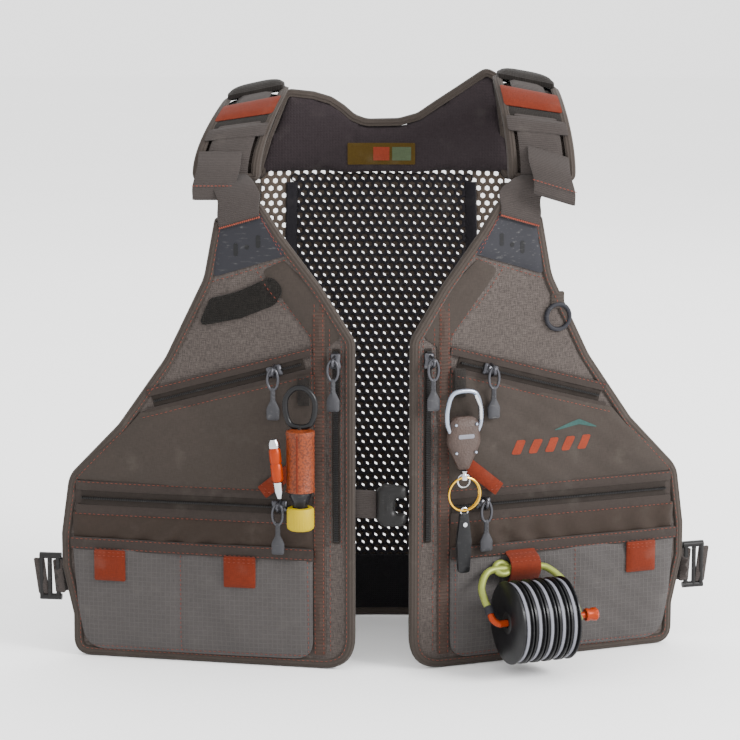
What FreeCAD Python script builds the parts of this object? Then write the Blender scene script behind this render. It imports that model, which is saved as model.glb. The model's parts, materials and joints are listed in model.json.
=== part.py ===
"""Fishing vest that stands on its hem: two pocketed fronts, a mesh back, padded shoulders and clipped tools.

Working frame, in millimetres: X across the vest, Y towards the back, Z up, with the hem at Z = 0 and the
front opening on X = 0.  Each front is drawn flat, as (u, v) points: u outwards from its front edge, v up.
Its layers are stacked outwards from the lining by w.  The last step centres the whole vest on the origin.
"""
import FreeCAD, Part
import math
import os

V = FreeCAD.Vector
Rotation = FreeCAD.Rotation
Placement = FreeCAD.Placement

doc = FreeCAD.newDocument("FishingVest")
sheet = doc.addObject("Spreadsheet::Sheet", "Sizes")

SIZES = {
    # fronts
    "front_gap": 37, "front_depth": 95, "left_splay": 12, "right_splay": 21.5, "front_wide": 216,
    "front_tall": 332, "lining_thick": 3, "binding_wide": 6, "binding_proud": 0.8, "edge_round": 22,
    "tape_thick": 1.8, "tape_wide": 9,
    "chest_pocket_deep": 6, "lower_pocket_deep": 7, "lower_pocket_tall": 79,
    "gather_deep": 5, "gather_tall": 19, "tab_wide": 23, "tab_tall": 20, "tab_thick": 1.6, "patch_thick": 2,
    "fly_patch_thick": 6, "gear_strap_wide": 10, "gear_strap_thick": 2,
    # zippers
    "zipper_wide": 16, "slider_wide": 8, "slider_tall": 12, "slider_thick": 3.6, "lug_wide": 2.4,
    "pull_wide": 10, "pull_tall": 34, "pull_thick": 3.2, "pull_out": 13.2, "pull_frame": 1.6, "tail_wide": 5,
    # back, collar and shoulders
    "back_depth": 55, "back_bend": 321, "back_half": 168, "back_thick": 3, "collar_tall": 66,
    "collar_thick": 9, "hem_tall": 44, "hem_thick": 5, "label_wide": 50, "label_tall": 18, "label_thick": 1.2,
    "pad_wide": 48, "pad_thick": 10, "pad_radius": 56, "pad_left": 109, "pad_right": 112, "pad_above": 18,
    "pad_middle": -7, "loop_wide": 38, "loop_thick": 7, "band_thick": 1.4,
    "webbing_wide": 30, "webbing_thick": 2,
    # side straps and front closure
    "side_strap_wide": 25, "side_strap_thick": 2, "side_strap_low": 45, "side_buckle_wide": 14,
    "side_buckle_tall": 34, "side_buckle_thick": 5, "closure_low": 110, "closure_webbing": 20,
    "socket_long": 22, "socket_tall": 32, "socket_thick": 6,
    # tools
    "spool_radius": 29.5, "spool_wide": 8.5, "spool_fit": 0.7, "drum_radius": 21, "spool_gap": 0.5,
    "flange_thick": 1.5, "rod_radius": 2.5, "knob_radius": 4.75, "knob_long": 10, "spool_axis_out": 46,
    "spool_axis_high": 40, "hang_out": 16, "hang_high": 71, "bow_bar": 5, "tool_out": 14,
    "case_wide": 26, "case_tall": 38, "case_thick": 8,
    "clip_thick": 4, "ring_wire": 1.1, "ring_radius": 12, "bottle_radius": 8.2, "sleeve_wall": 1.6,
    "cap_radius": 9.6, "bottle_tall": 58, "cap_tall": 16, "ring_bar": 1.5, "d_ring_radius": 9,
    "clearance": 0.4,
}
for row, (alias, value) in enumerate(SIZES.items(), start=1):
    sheet.set(f"A{row}", alias)
    sheet.set(f"B{row}", str(value))
    sheet.setAlias(f"B{row}", alias)
doc.recompute()
S = {alias: float(sheet.get(alias)) for alias in SIZES}

nodes = []


# ---------------------------------------------------------------- drawing helpers
def rounded(points):
    """Line and arc segments of a closed outline of (x, y, corner radius) points."""
    corners = []
    count = len(points)
    for i, (x, y, radius) in enumerate(points):
        here = V(x, y, 0)
        before = V(*points[i - 1][:2], 0)
        after = V(*points[(i + 1) % count][:2], 0)
        if radius <= 0:
            corners.append((here, here, here))
            continue
        back = (before - here).normalize()
        on = (after - here).normalize()
        half = back.getAngle(on) / 2
        reach = min(radius / math.tan(half), 0.45 * here.distanceToPoint(before),
                    0.45 * here.distanceToPoint(after))
        true_radius = reach * math.tan(half)
        middle = (back + on).normalize()
        apex = here + middle * (true_radius / math.sin(half) - true_radius)
        corners.append((here + back * reach, apex, here + on * reach))
    segments = []
    for i, (start, apex, end) in enumerate(corners):
        if start != end:
            segments.append(Part.Arc(start, apex, end))
        following = corners[(i + 1) % count][0]
        if end.distanceToPoint(following) > 1e-6:
            segments.append(Part.LineSegment(end, following))
    return segments


def origin_plane(body, role):
    return next(f for f in body.Origin.OriginFeatures if f.Role == role)


def sketch_in(body, role, loops, offset):
    """Sketch of closed loops on one of the body's origin planes, raised by the expression offset."""
    sketch = body.newObject("Sketcher::SketchObject", "Outline")
    sketch.AttachmentSupport = [(origin_plane(body, role), "")]
    sketch.MapMode = "FlatFace"
    for loop in loops:
        sketch.addGeometry(rounded(loop), False)
    sketch.setExpression("AttachmentOffset.Base.z", offset)
    return sketch


def pad_on(body, role, loops, offset, thick):
    sketch = sketch_in(body, role, loops, offset)
    pad = body.newObject("PartDesign::Pad", "Layer")
    pad.Profile = sketch
    pad.setExpression("Length", thick)
    body.Tip = pad
    return pad


def new_body(label):
    body = doc.addObject("PartDesign::Body", label)
    body.Label = label
    body.AllowCompound = True
    nodes.append(body)
    return body


def keep(feature, label):
    feature.Label = label
    nodes.append(feature)
    return feature


def flat_loop(loop, mirror):
    return [(mirror * x, y, r) for x, y, r in loop]


def square(x0, y0, x1, y1, r=0.0):
    return [(x0, y0, r), (x1, y0, r), (x1, y1, r), (x0, y1, r)]


def band_between(start, end, wide):
    """Four corners of a flat strap that runs from start to end."""
    (x0, y0), (x1, y1) = start, end
    long = math.hypot(x1 - x0, y1 - y0)
    nx, ny = (y0 - y1) / long * wide / 2, (x1 - x0) / long * wide / 2
    return [(x0 + nx, y0 + ny, 0), (x1 + nx, y1 + ny, 0), (x1 - nx, y1 - ny, 0), (x0 - nx, y0 - ny, 0)]


def inset(loop, distance):
    """The same outline drawn smaller by distance on every side."""
    count = len(loop)
    area = sum(loop[i - 1][0] * loop[i][1] - loop[i][0] * loop[i - 1][1] for i in range(count))
    turn = 1 if area > 0 else -1
    moved = []
    for i, (x, y, r) in enumerate(loop):
        ax, ay = x - loop[i - 1][0], y - loop[i - 1][1]
        bx, by = loop[(i + 1) % count][0] - x, loop[(i + 1) % count][1] - y
        la, lb = math.hypot(ax, ay), math.hypot(bx, by)
        na = (-ay / la * turn, ax / la * turn)
        nb = (-by / lb * turn, bx / lb * turn)
        share = distance / (1 + na[0] * nb[0] + na[1] * nb[1])
        moved.append((x + (na[0] + nb[0]) * share, y + (na[1] + nb[1]) * share, max(r - distance, 0)))
    return moved


class Front:
    """One front of the vest: its mirror sign, and its place in the vest."""

    def __init__(self, name, sign):
        self.name = name
        self.sign = sign
        self.place = Placement(V(sign * S["front_gap"] / 2, -S["front_depth"], 0),
                               Rotation(V(0, 0, 1), sign * S[name + "_splay"]))

    def at(self, u, v, w, turn=None):
        """Placement of a piece at (u, v, w) on this front."""
        return self.place.multiply(Placement(V(self.sign * u, -w, v), turn or Rotation()))

    def layers(self, label, *layers, side_name=True):
        """A body of flat layers; each layer is (loops, start expression, thickness expression)."""
        body = new_body(f"{self.name}_{label}" if side_name else label)
        for loops, start, thick in layers:
            pad_on(body, "XZ_Plane", [flat_loop(loop, self.sign) for loop in loops], start, thick)
        body.Placement = self.place
        return body


left = Front("left", -1)
right = Front("right", 1)
FRONTS = (left, right)


# ---------------------------------------------------------------- outlines of a front
WIDE = S["front_wide"]
TALL = S["front_tall"]
ARM = WIDE / 216.0
RISE = TALL / 332.0


def on_front(points):
    return [(u * ARM, v * RISE, r) for u, v, r in points]


FRONT_OUTLINE = on_front([
    (0, 0, S["edge_round"] + 3), (208, 0, S["edge_round"]), (208, 30, 8), (216, 66, 10), (216, 90, 12),
    (210, 132, 22), (172, 171, 30), (137, 220, 60), (108, 278, 40), (100, 320, 4), (67, TALL / RISE, 4),
    (52, 310, 20), (24, 274, 30), (0, 237, 14)])
BAND_TOP = 128 * RISE
BAND_LOW = 108 * RISE
BAND_MIDDLE = (BAND_TOP + BAND_LOW) / 2
CHEST_ZIP_OUTER = (146 * ARM, 189 * RISE)
CHEST_ZIP_INNER = (36 * ARM, 220 * RISE)
TAPE_MIDDLE = 25.5
FRONT_ZIP_MIDDLE = 13
TAB_PLACES = (82, 178)
TOOL_LOOP_U = 35
TOOL_LOOP_LOW = {"left": 191, "right": 196}
LINING = "Sizes.lining_thick"
ON_CHEST = "Sizes.lining_thick + Sizes.chest_pocket_deep"


def chest_line(u, below):
    """Height of a line that runs below the chest zipper, across the front."""
    slope = (CHEST_ZIP_OUTER[1] - CHEST_ZIP_INNER[1]) / (CHEST_ZIP_OUTER[0] - CHEST_ZIP_INNER[0])
    return CHEST_ZIP_INNER[1] + slope * (u - CHEST_ZIP_INNER[0]) - below


def make_front(front):
    """Lining, binding, pockets, zippers and trims of one front."""
    inner = inset(FRONT_OUTLINE, S["binding_wide"])
    front.layers("front_panel", ([inner], "0 mm", LINING))
    front.layers("edge_binding", ([FRONT_OUTLINE, inner], "-Sizes.binding_proud",
                                  "Sizes.lining_thick + 2 * Sizes.binding_proud"))

    pocket_in = TAPE_MIDDLE + S["tape_wide"] / 2 + 1
    under = S["zipper_wide"] / 2 + 2
    chest = [(pocket_in, BAND_TOP + 1, 2), (198 * ARM, BAND_TOP + 1, 4), (195 * ARM, BAND_TOP + 9, 10),
             (165 * ARM, 165 * RISE, 10), (158 * ARM, chest_line(158 * ARM, under), 3),
             (pocket_in, chest_line(pocket_in, under), 4)]
    front.layers("chest_pocket", ([chest], LINING, "Sizes.chest_pocket_deep"))

    top = 8 + S["lower_pocket_tall"]
    lower = [(pocket_in, 8, 14), (200 * ARM, 8, 18), (203 * ARM, 50, 10), (205 * ARM, top, 3),
             (pocket_in, top, 3)]
    gather = square(pocket_in + 2, top, 200 * ARM, top + S["gather_tall"], 2)
    front.layers("lower_pocket", ([lower], LINING, "Sizes.lower_pocket_deep"),
                 ([gather], LINING, "Sizes.gather_deep"))

    chest_zip = band_between(CHEST_ZIP_INNER, CHEST_ZIP_OUTER, S["zipper_wide"])
    band_zip = square(pocket_in + 2, BAND_LOW, 198 * ARM, BAND_TOP)
    front_zip = square(FRONT_ZIP_MIDDLE - 4, 92 * RISE, FRONT_ZIP_MIDDLE + 4, 232 * RISE)
    tape = square(TAPE_MIDDLE - S["tape_wide"] / 2, 12, TAPE_MIDDLE + S["tape_wide"] / 2, 255 * RISE)
    front.layers("zipper_tapes", *[([loop], LINING, "Sizes.tape_thick")
                                   for loop in (chest_zip, band_zip, front_zip, tape)])

    half = S["tab_wide"] / 2
    tab_top = 8 + S["lower_pocket_tall"] - 9
    tabs = [square(u * ARM - half, tab_top - S["tab_tall"], u * ARM + half, tab_top, 1) for u in TAB_PLACES]
    front.layers("pocket_tabs", *[([tab], "Sizes.lining_thick + Sizes.lower_pocket_deep", "Sizes.tab_thick")
                                  for tab in tabs])

    patch = on_front([(68, 318, 3), (51, 289, 3), (100, 274, 3), (94, 311, 3)])
    front.layers("shoulder_patch", ([patch], LINING, "Sizes.patch_thick"))

    strap_foot = (62, BAND_TOP + 1 + S["gear_strap_wide"] / 4)
    strap = band_between((44, 148 * RISE), strap_foot, S["gear_strap_wide"])
    loop_low = TOOL_LOOP_LOW[front.name] * RISE
    tool_loop = square(TOOL_LOOP_U - 4, loop_low, TOOL_LOOP_U + 4, loop_low + 20 * RISE, 1)
    front.layers("gear_straps",
                 ([strap], ON_CHEST, "Sizes.gear_strap_thick"),
                 ([tool_loop], ON_CHEST, "Sizes.gear_strap_thick"))


for each_front in FRONTS:
    make_front(each_front)

fly_patch = on_front([(84, 268, 8), (56, 279, 8), (51, 265, 8), (78, 252, 8), (112, 246, 4), (106, 262, 4)])
left.layers("fly_patch", ([fly_patch], LINING, "Sizes.fly_patch_thick"))


# ---------------------------------------------------------------- zipper sliders and pulls
def make_zipper(front, label, u, v, turn):
    """A slider on its tape, and the pull that hangs on its lug."""
    half, tall = S["slider_wide"] / 2, S["slider_tall"] / 2
    spot = front.at(u, v, S["lining_thick"] + S["tape_thick"] + S["clearance"],
                    Rotation(V(0, 1, 0), front.sign * turn))
    slider = new_body(f"{front.name}_{label}_slider")
    pad_on(slider, "XZ_Plane", [square(-half, -tall, half, tall, 2)], "0 mm", "Sizes.slider_thick")
    slider.Placement = spot
    lug_low = v - 2
    lug = doc.addObject("PartDesign::Body", "Lug")
    lug_half = S["lug_wide"] / 2
    pad_on(lug, "XZ_Plane", [square(-lug_half, 0, lug_half, 4)], "0 mm",
           "Sizes.pull_out + Sizes.pull_thick - Sizes.lining_thick - Sizes.tape_thick - Sizes.clearance")
    lug.Placement = front.at(u, lug_low, S["lining_thick"] + S["tape_thick"] + S["clearance"])
    fused = doc.addObject("Part::Fuse", "SliderWithLug")
    fused.Base = slider
    fused.Tool = lug
    nodes.remove(slider)
    slider.Label = "Body of " + slider.Label
    keep(fused, f"{front.name}_{label}_slider")

    pull = new_body(f"{front.name}_{label}_pull")
    wide, bar = S["pull_wide"] / 2, S["pull_frame"]
    eye = square(-wide, -wide * 2 + 2, wide, 2 + bar, wide * 0.8)
    hole = square(-wide + bar, -wide * 2 + 2 + bar, wide - bar, 2, wide * 0.6)
    hole = [(x, y + 0.6, r) for x, y, r in hole]
    tail_half = S["tail_wide"] / 2
    tail_top = -wide * 2 + 2 + bar / 2
    tail = square(-tail_half, 2 + bar - S["pull_tall"], tail_half, tail_top, tail_half * 0.6)
    pad_on(pull, "XZ_Plane", [eye, hole], "0 mm", "Sizes.pull_thick * 0.6")
    pad_on(pull, "XZ_Plane", [tail], "0 mm", "Sizes.pull_thick")
    pull.Placement = front.at(u, lug_low + 4 + S["clearance"] * 2 - 2, S["pull_out"])


CHEST_SLOPE = math.degrees(math.atan2(CHEST_ZIP_INNER[1] - CHEST_ZIP_OUTER[1],
                                      CHEST_ZIP_OUTER[0] - CHEST_ZIP_INNER[0]))
for each_front, chest_u, band_u in ((left, 56, 53), (right, 59, 54)):
    make_zipper(each_front, "chest", chest_u, chest_line(chest_u, 0), 90 + CHEST_SLOPE)
    make_zipper(each_front, "band", band_u, BAND_MIDDLE, 90)
    make_zipper(each_front, "front", FRONT_ZIP_MIDDLE, 222 * RISE, 0)


# ---------------------------------------------------------------- D-ring and front closure
def ring(label, front, u, v, w, radius, wire, turn=None):
    torus = doc.addObject("Part::Torus", "Ring")
    torus.setExpression("Radius1", radius)
    torus.setExpression("Radius2", wire)
    torus.Placement = front.at(u, v, w, turn or Rotation(V(1, 0, 0), 90))
    return keep(torus, label) if label else torus


D_RING_UP = 248 * RISE
ring("d_ring", right, 112 * ARM, D_RING_UP, S["lining_thick"] + 2.5, "Sizes.d_ring_radius", "Sizes.ring_bar")

webbing_mid = S["closure_low"] + S["closure_webbing"] / 2
strap_loop = square(-14, S["closure_low"], 46, S["closure_low"] + S["closure_webbing"])
left.layers("closure_strap", ([strap_loop], "-Sizes.binding_proud - 2.2", "1.8 mm"), side_name=False)
socket_end = -14 - S["socket_long"]
socket_half = S["socket_tall"] / 2
socket_loop = [(-14.2, webbing_mid - socket_half, 4), (-14.2, webbing_mid + socket_half, 4),
               (socket_end, webbing_mid + socket_half, 8), (socket_end, webbing_mid + 5, 2),
               (socket_end + 9, webbing_mid + 5, 4), (socket_end + 9, webbing_mid - 5, 4),
               (socket_end, webbing_mid - 5, 2), (socket_end, webbing_mid - socket_half, 8)]
left.layers("closure_socket", ([socket_loop], "-Sizes.socket_thick / 2 - 1", "Sizes.socket_thick"),
            side_name=False)
plug_loop = square(10, webbing_mid - 11, 44, webbing_mid + 11, 5)
right.layers("closure_plug", ([plug_loop], "-Sizes.binding_proud - Sizes.socket_thick", "Sizes.socket_thick"),
             side_name=False)


# ---------------------------------------------------------------- back, collar and shoulders
def curved_plate(label, loops, inner_radius, thick, middle_y):
    """A plate bent about a vertical axis, cut to outlines that are drawn from the front."""
    outer = doc.addObject("Part::Cylinder", "BendOutside")
    inner = doc.addObject("Part::Cylinder", "BendInside")
    outer.setExpression("Radius", f"{inner_radius} + {thick}")
    inner.setExpression("Radius", inner_radius)
    for cylinder in (outer, inner):
        cylinder.setExpression("Height", "Sizes.front_tall + 2 * Sizes.collar_tall")
        cylinder.Placement = Placement(V(0, middle_y, 0), Rotation())
    shell = doc.addObject("Part::Cut", "Bend")
    shell.Base = outer
    shell.Tool = inner
    cutter = doc.addObject("PartDesign::Body", "Cutter")
    cutter.AllowCompound = True
    for loop in loops:
        pad_on(cutter, "XZ_Plane", [loop], "-Sizes.back_depth - 40", "Sizes.back_depth + 70")
    plate = doc.addObject("Part::Common", label)
    plate.Base = shell
    plate.Tool = cutter
    return keep(plate, label)


HALF = S["back_half"]
YOKE = TALL
BEND_MIDDLE = S["back_depth"] - S["back_bend"]
back_side = [(HALF, S["hem_tall"], 0), (HALF, 160 * RISE, 14), (150, 190 * RISE, 25), (116, 245 * RISE, 40),
             (98, 290 * RISE, 30), (94, YOKE, 0)]
back_loop = back_side + [(-x, y, r) for x, y, r in reversed(back_side)]
curved_plate("back_mesh_panel", [back_loop], "Sizes.back_bend", "Sizes.back_thick", BEND_MIDDLE)
curved_plate("back_hem_band", [square(-HALF, 0, HALF, S["hem_tall"] - 0.02)],
             "Sizes.back_bend - 1", "Sizes.hem_thick", BEND_MIDDLE)
collar_top = YOKE + S["collar_tall"]
collar_half = S["pad_left"] - S["pad_wide"] / 2 - S["clearance"]
collar_side = [(collar_half, YOKE + 0.1, 0), (collar_half, YOKE + 34, 12), (74, collar_top, 6),
               (58, collar_top - 4, 10),
               (36, YOKE + 46, 20), (18, YOKE + 38, 30)]
collar_loop = collar_side + [(-x, y, r) for x, y, r in reversed(collar_side)]
curved_plate("collar_yoke", [collar_loop], "Sizes.back_bend - 3", "Sizes.collar_thick", BEND_MIDDLE)
label_low = YOKE + 6
curved_plate("neck_label", [square(-S["label_wide"] / 2, label_low, S["label_wide"] / 2,
                                   label_low + S["label_tall"])],
             "Sizes.back_bend - 3 - Sizes.label_thick", "Sizes.label_thick", BEND_MIDDLE)


def arch(label, centres, wide, inner, outer, start, end):
    """Bands bent over the shoulders, between two angles measured from the back, in degrees."""
    bodies = []
    for x in centres:
        body = doc.addObject("PartDesign::Body", "Arch")
        sketch = body.newObject("Sketcher::SketchObject", "Profile")
        sketch.AttachmentSupport = [(origin_plane(body, "YZ_Plane"), "")]
        sketch.MapMode = "FlatFace"
        low, high = math.radians(start), math.radians(end)
        middle = V(S["pad_middle"], TALL + S["pad_above"], 0)

        def on_arch(radius, angle):
            return middle + V(math.cos(angle), math.sin(angle), 0) * radius

        half_way = (low + high) / 2
        sketch.addGeometry([
            Part.Arc(on_arch(outer, low), on_arch(outer, half_way), on_arch(outer, high)),
            Part.LineSegment(on_arch(outer, high), on_arch(inner, high)),
            Part.Arc(on_arch(inner, high), on_arch(inner, half_way), on_arch(inner, low)),
            Part.LineSegment(on_arch(inner, low), on_arch(outer, low))], False)
        pad = body.newObject("PartDesign::Pad", "Band")
        pad.Profile = sketch
        pad.setExpression("Length", wide)
        pad.Midplane = True
        body.Tip = pad
        body.Placement = Placement(V(x, 0, 0), Rotation())
        bodies.append(body)
    if len(bodies) == 1:
        nodes.append(bodies[0])
        bodies[0].Label = label
        return
    group = doc.addObject("Part::Compound", label)
    group.Links = bodies
    keep(group, label)


PAD_OUT = S["pad_radius"]
PAD_IN = PAD_OUT - S["pad_thick"]
PAD_PLACES = (-S["pad_left"], S["pad_right"])
for name, place in zip(("left", "right"), PAD_PLACES):
    arch(f"{name}_shoulder_pad", [place], "Sizes.pad_wide", PAD_IN, PAD_OUT, -17, 188)
rest_on = PAD_OUT + 0.05
arch("shoulder_top_loops", PAD_PLACES, "Sizes.loop_wide", rest_on, rest_on + S["loop_thick"], 62, 104)
arch("shoulder_bands", PAD_PLACES, "Sizes.pad_wide - 2", rest_on, rest_on + S["band_thick"], 108, 128)
arch("shoulder_webbing", PAD_PLACES, "Sizes.webbing_wide", rest_on, rest_on + S["webbing_thick"], 132, 190)


# ---------------------------------------------------------------- side straps
BUCKLE_GAP = 2.6


def side_strap_parts():
    """Webbing from the back's side edge to a ladder-lock buckle beside each front."""
    straps, buckles = [], []
    side_y = BEND_MIDDLE + math.sqrt(S["back_bend"] ** 2 - HALF ** 2)
    for front in FRONTS:
        start = V(front.sign * (HALF + 1.2), side_y, 0)
        end = front.at(S["front_wide"] + BUCKLE_GAP + 2.3, 0, -1).Base
        run = end - start
        angle = math.degrees(math.atan2(run.y, run.x))
        strap = doc.addObject("Part::Box", "SideStrap")
        strap.Length = run.Length
        strap.setExpression("Width", "Sizes.side_strap_thick")
        strap.setExpression("Height", "Sizes.side_strap_wide")
        shift = Rotation(V(0, 0, 1), angle).multVec(V(0, -S["side_strap_thick"] / 2, 0))
        strap.Placement = Placement(start + shift + V(0, 0, S["side_strap_low"]), Rotation(V(0, 0, 1), angle))
        straps.append(strap)
        buckle = new_body(front.name + "_side_buckle")
        nodes.remove(buckle)
        wide, tall = S["side_buckle_wide"], S["side_buckle_tall"]
        frame = square(0, 0, wide, tall, 2.5)
        slots = [square(x, 4, x + 3, tall - 4, 1) for x in (2.2, wide - 5.2)]
        pad_on(buckle, "XZ_Plane", [flat_loop(loop, front.sign) for loop in [frame] + slots],
               "0 mm", "Sizes.side_buckle_thick")
        low = S["side_strap_low"] + (S["side_strap_wide"] - tall) / 2
        buckle.Placement = front.at(S["front_wide"] + BUCKLE_GAP, low, 0.6)
        buckles.append(buckle)
    for label, pieces in (("side_straps", straps), ("side_buckles", buckles)):
        group = doc.addObject("Part::Compound", label)
        group.Links = pieces
        keep(group, label)


side_strap_parts()


# ---------------------------------------------------------------- tippet holder on the right pocket
def along_front(front, u, v, w):
    """Placement whose Z runs outwards along the front."""
    return front.at(u, v, w, Rotation(V(0, 1, 0), front.sign * 90))


def turned(label, profile, place):
    """A solid of revolution about Z; the profile is (radius, height) points."""
    body = new_body(label)
    sketch = body.newObject("Sketcher::SketchObject", "Profile")
    sketch.AttachmentSupport = [(origin_plane(body, "XZ_Plane"), "")]
    sketch.MapMode = "FlatFace"
    sketch.addGeometry(rounded([(x, y, 0) for x, y in profile]), False)
    turn = body.newObject("PartDesign::Revolution", "Turned")
    turn.Profile = sketch
    turn.ReferenceAxis = (sketch, ["V_Axis"])
    turn.Angle = 360
    body.Tip = turn
    body.Placement = place
    return body


SPOOLS = 5
LEG_IN_GAP = 7.5
LEG_OUT_GAP = 8
pitch = S["spool_wide"] + S["spool_gap"]
stack = SPOOLS * pitch
spool_start = TAB_PLACES[0] * ARM - stack / 2 - 3.5
for i in range(SPOOLS):
    rim, drum, bore = S["spool_radius"], S["drum_radius"], S["rod_radius"] + S["spool_fit"]
    wide, flange = S["spool_wide"], S["flange_thick"]
    turned(f"tippet_spool_{i + 1}",
           [(bore, 0), (rim, 0), (rim, flange), (drum, flange), (drum, wide - flange),
            (rim, wide - flange), (rim, wide), (bore, wide)],
           along_front(right, spool_start + i * pitch, S["spool_axis_high"], S["spool_axis_out"]))

bar = S["bow_bar"]
rod_start = spool_start - LEG_IN_GAP - bar - 1
rod_long = stack + LEG_IN_GAP + LEG_OUT_GAP + 2 * bar + 6
rod = doc.addObject("Part::Cylinder", "Rod")
rod.setExpression("Radius", "Sizes.rod_radius")
rod.Height = rod_long
rod.Placement = along_front(right, rod_start, S["spool_axis_high"], S["spool_axis_out"])
knob = doc.addObject("Part::Cylinder", "Knob")
knob.setExpression("Radius", "Sizes.knob_radius")
knob.setExpression("Height", "Sizes.knob_long")
knob.Placement = along_front(right, rod_start + rod_long, S["spool_axis_high"], S["spool_axis_out"])
rod_and_knob = doc.addObject("Part::Fuse", "RodAndKnob")
rod_and_knob.Base = rod
rod_and_knob.Tool = knob
keep(rod_and_knob, "tippet_rod")

lean = math.degrees(math.atan2(S["spool_axis_out"] - S["hang_out"], S["hang_high"] - S["spool_axis_high"]))
reach = math.hypot(S["spool_axis_out"] - S["hang_out"], S["hang_high"] - S["spool_axis_high"])
bow = new_body("tippet_bow")
leg_in = spool_start - LEG_IN_GAP
span = stack + LEG_IN_GAP + LEG_OUT_GAP
foot = bar * 0.9
bow_outer = [(-bar, -foot, 2), (-bar, reach + 2, 12), (span + bar, reach + 2, 12), (span + bar, -foot, 2),
             (span, -foot, 1), (span, reach + 2 - bar, 8), (0, reach + 2 - bar, 8), (0, -foot, 1)]
pad_on(bow, "XZ_Plane", [bow_outer], "-Sizes.bow_bar / 2", "Sizes.bow_bar")
bore = doc.addObject("Part::Cylinder", "BowBore")
bore.setExpression("Radius", "Sizes.rod_radius")
bore.Height = rod_long + 40
bore.Placement = along_front(right, rod_start - 20, S["spool_axis_high"], S["spool_axis_out"])
bow.Placement = right.at(leg_in, S["spool_axis_high"], S["spool_axis_out"], Rotation(V(1, 0, 0), lean))
nodes.remove(bow)
bow.Label = "Bow blank"
bow_cut = doc.addObject("Part::Cut", "tippet_bow_cut")
bow_cut.Base = bow
bow_cut.Tool = bore
keep(bow_cut, "tippet_bow")


# ---------------------------------------------------------------- retractor set on the right front
TOOL_OUT = S["tool_out"]
CASE_U = TOOL_LOOP_U


def tool_plate(label, front, u, v, w, loops, thick):
    body = new_body(label)
    pad_on(body, "XZ_Plane", loops, "0 mm", thick)
    body.Placement = front.at(u, v, w)
    return body


short_loop = [(-9, 0, 8), (9, 0, 8), (13, 19, 9), (-13, 19, 9)]
short_hole = inset(short_loop, 3.4)
tool_plate("retractor_clip", right, CASE_U, 184 * RISE, TOOL_OUT, [short_loop, short_hole],
           "Sizes.clip_thick")
case_half = S["case_wide"] / 2
case_tall = S["case_tall"]
case_loop = [(-5, 0, 4), (5, 0, 4), (case_half, case_tall * 0.45, 10), (case_half * 0.7, case_tall, 8),
             (-case_half * 0.7, case_tall, 8), (-case_half, case_tall * 0.45, 10)]
CASE_LOW = 183.5 * RISE - case_tall
tool_plate("retractor_case", right, CASE_U, CASE_LOW, TOOL_OUT, [case_loop], "Sizes.case_thick")
RING_MIDDLE = CASE_LOW - S["ring_radius"] - S["ring_wire"] - 4
tether_mid = TOOL_OUT + S["case_thick"] / 2
ring("tether_ring", right, CASE_U, RING_MIDDLE, tether_mid, "Sizes.ring_radius", "Sizes.ring_wire")
nipper_top = RING_MIDDLE - S["ring_radius"] - S["ring_wire"] - 0.6
nipper_loop = [(-3, 0, 2), (-6, -26, 3), (-4, -44, 3), (4, -44, 3), (6, -26, 3), (3, 0, 2)]
tool_plate("line_nipper", right, CASE_U, nipper_top, tether_mid - 2, [nipper_loop], "4 mm")


# ---------------------------------------------------------------- floatant set on the left front
BOTTLE_U = 33
bottle_r = S["bottle_radius"]
sleeve_in = bottle_r + S["clearance"]
sleeve_out = sleeve_in + S["sleeve_wall"]
sleeve_mid = TOOL_OUT + 4.5 + sleeve_out
SLEEVE_LOW = 134 * RISE
SLEEVE_TALL = 42
clip_loop = [(-9, 0, 8), (9, 0, 8), (13, 29, 10), (-13, 29, 10)]
clip_hole = inset(clip_loop, 3.4)
tool_plate("floatant_clip", left, BOTTLE_U, 179 * RISE, sleeve_mid - 2, [clip_loop, clip_hole],
           "Sizes.clip_thick")
turned("floatant_sleeve",
       [(sleeve_in, 0), (sleeve_out, 0), (sleeve_out, SLEEVE_TALL), (0, SLEEVE_TALL + 2),
        (0, SLEEVE_TALL), (sleeve_in, SLEEVE_TALL - 1.5)],
       left.at(BOTTLE_U, SLEEVE_LOW, sleeve_mid))
bottle_top = SLEEVE_LOW + SLEEVE_TALL - 3
bottle_low = bottle_top - S["bottle_tall"]
turned("floatant_bottle",
       [(0, 0), (bottle_r * 0.6, 0), (bottle_r * 0.6, 10), (bottle_r, 16), (bottle_r, S["bottle_tall"]),
        (0, S["bottle_tall"])],
       left.at(BOTTLE_U, bottle_low, sleeve_mid))
cap_r = S["cap_radius"]
turned("floatant_cap",
       [(0, 0), (cap_r * 0.8, 0), (cap_r, 3), (cap_r, S["cap_tall"]), (bottle_r * 0.6 + 0.3, S["cap_tall"]),
        (bottle_r * 0.6 + 0.3, 7.6), (0, 7.6)],
       left.at(BOTTLE_U, bottle_low - 8, sleeve_mid))


# ---------------------------------------------------------------- finish
doc.recompute()
for item in doc.Objects:
    if "Invalid" in item.State or "Error" in item.State:
        raise RuntimeError(f"{item.Label} failed: {item.State}")
labels = [node.Label for node in nodes]
if len(set(labels)) != len(labels):
    raise RuntimeError("two sub-parts share a name")

whole = FreeCAD.BoundBox()
for node in nodes:
    if node.Shape.isNull() or not node.Shape.isValid() or not node.Shape.Solids:
        raise RuntimeError(f"{node.Label} has no valid solid")
    whole.add(node.Shape.BoundBox)
centre = V(-(whole.XMin + whole.XMax) / 2, -(whole.YMin + whole.YMax) / 2, -whole.ZMin)

os.makedirs("parts", exist_ok=True)
for node in nodes:
    shape = node.Shape.copy()
    shape.translate(centre)
    shape.exportStep(f"parts/{node.Label}.step")
print(len(nodes), "nodes; size", round(whole.XLength, 1), round(whole.YLength, 1), round(whole.ZLength, 1),
      "shift", [round(c, 2) for c in centre])
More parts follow.
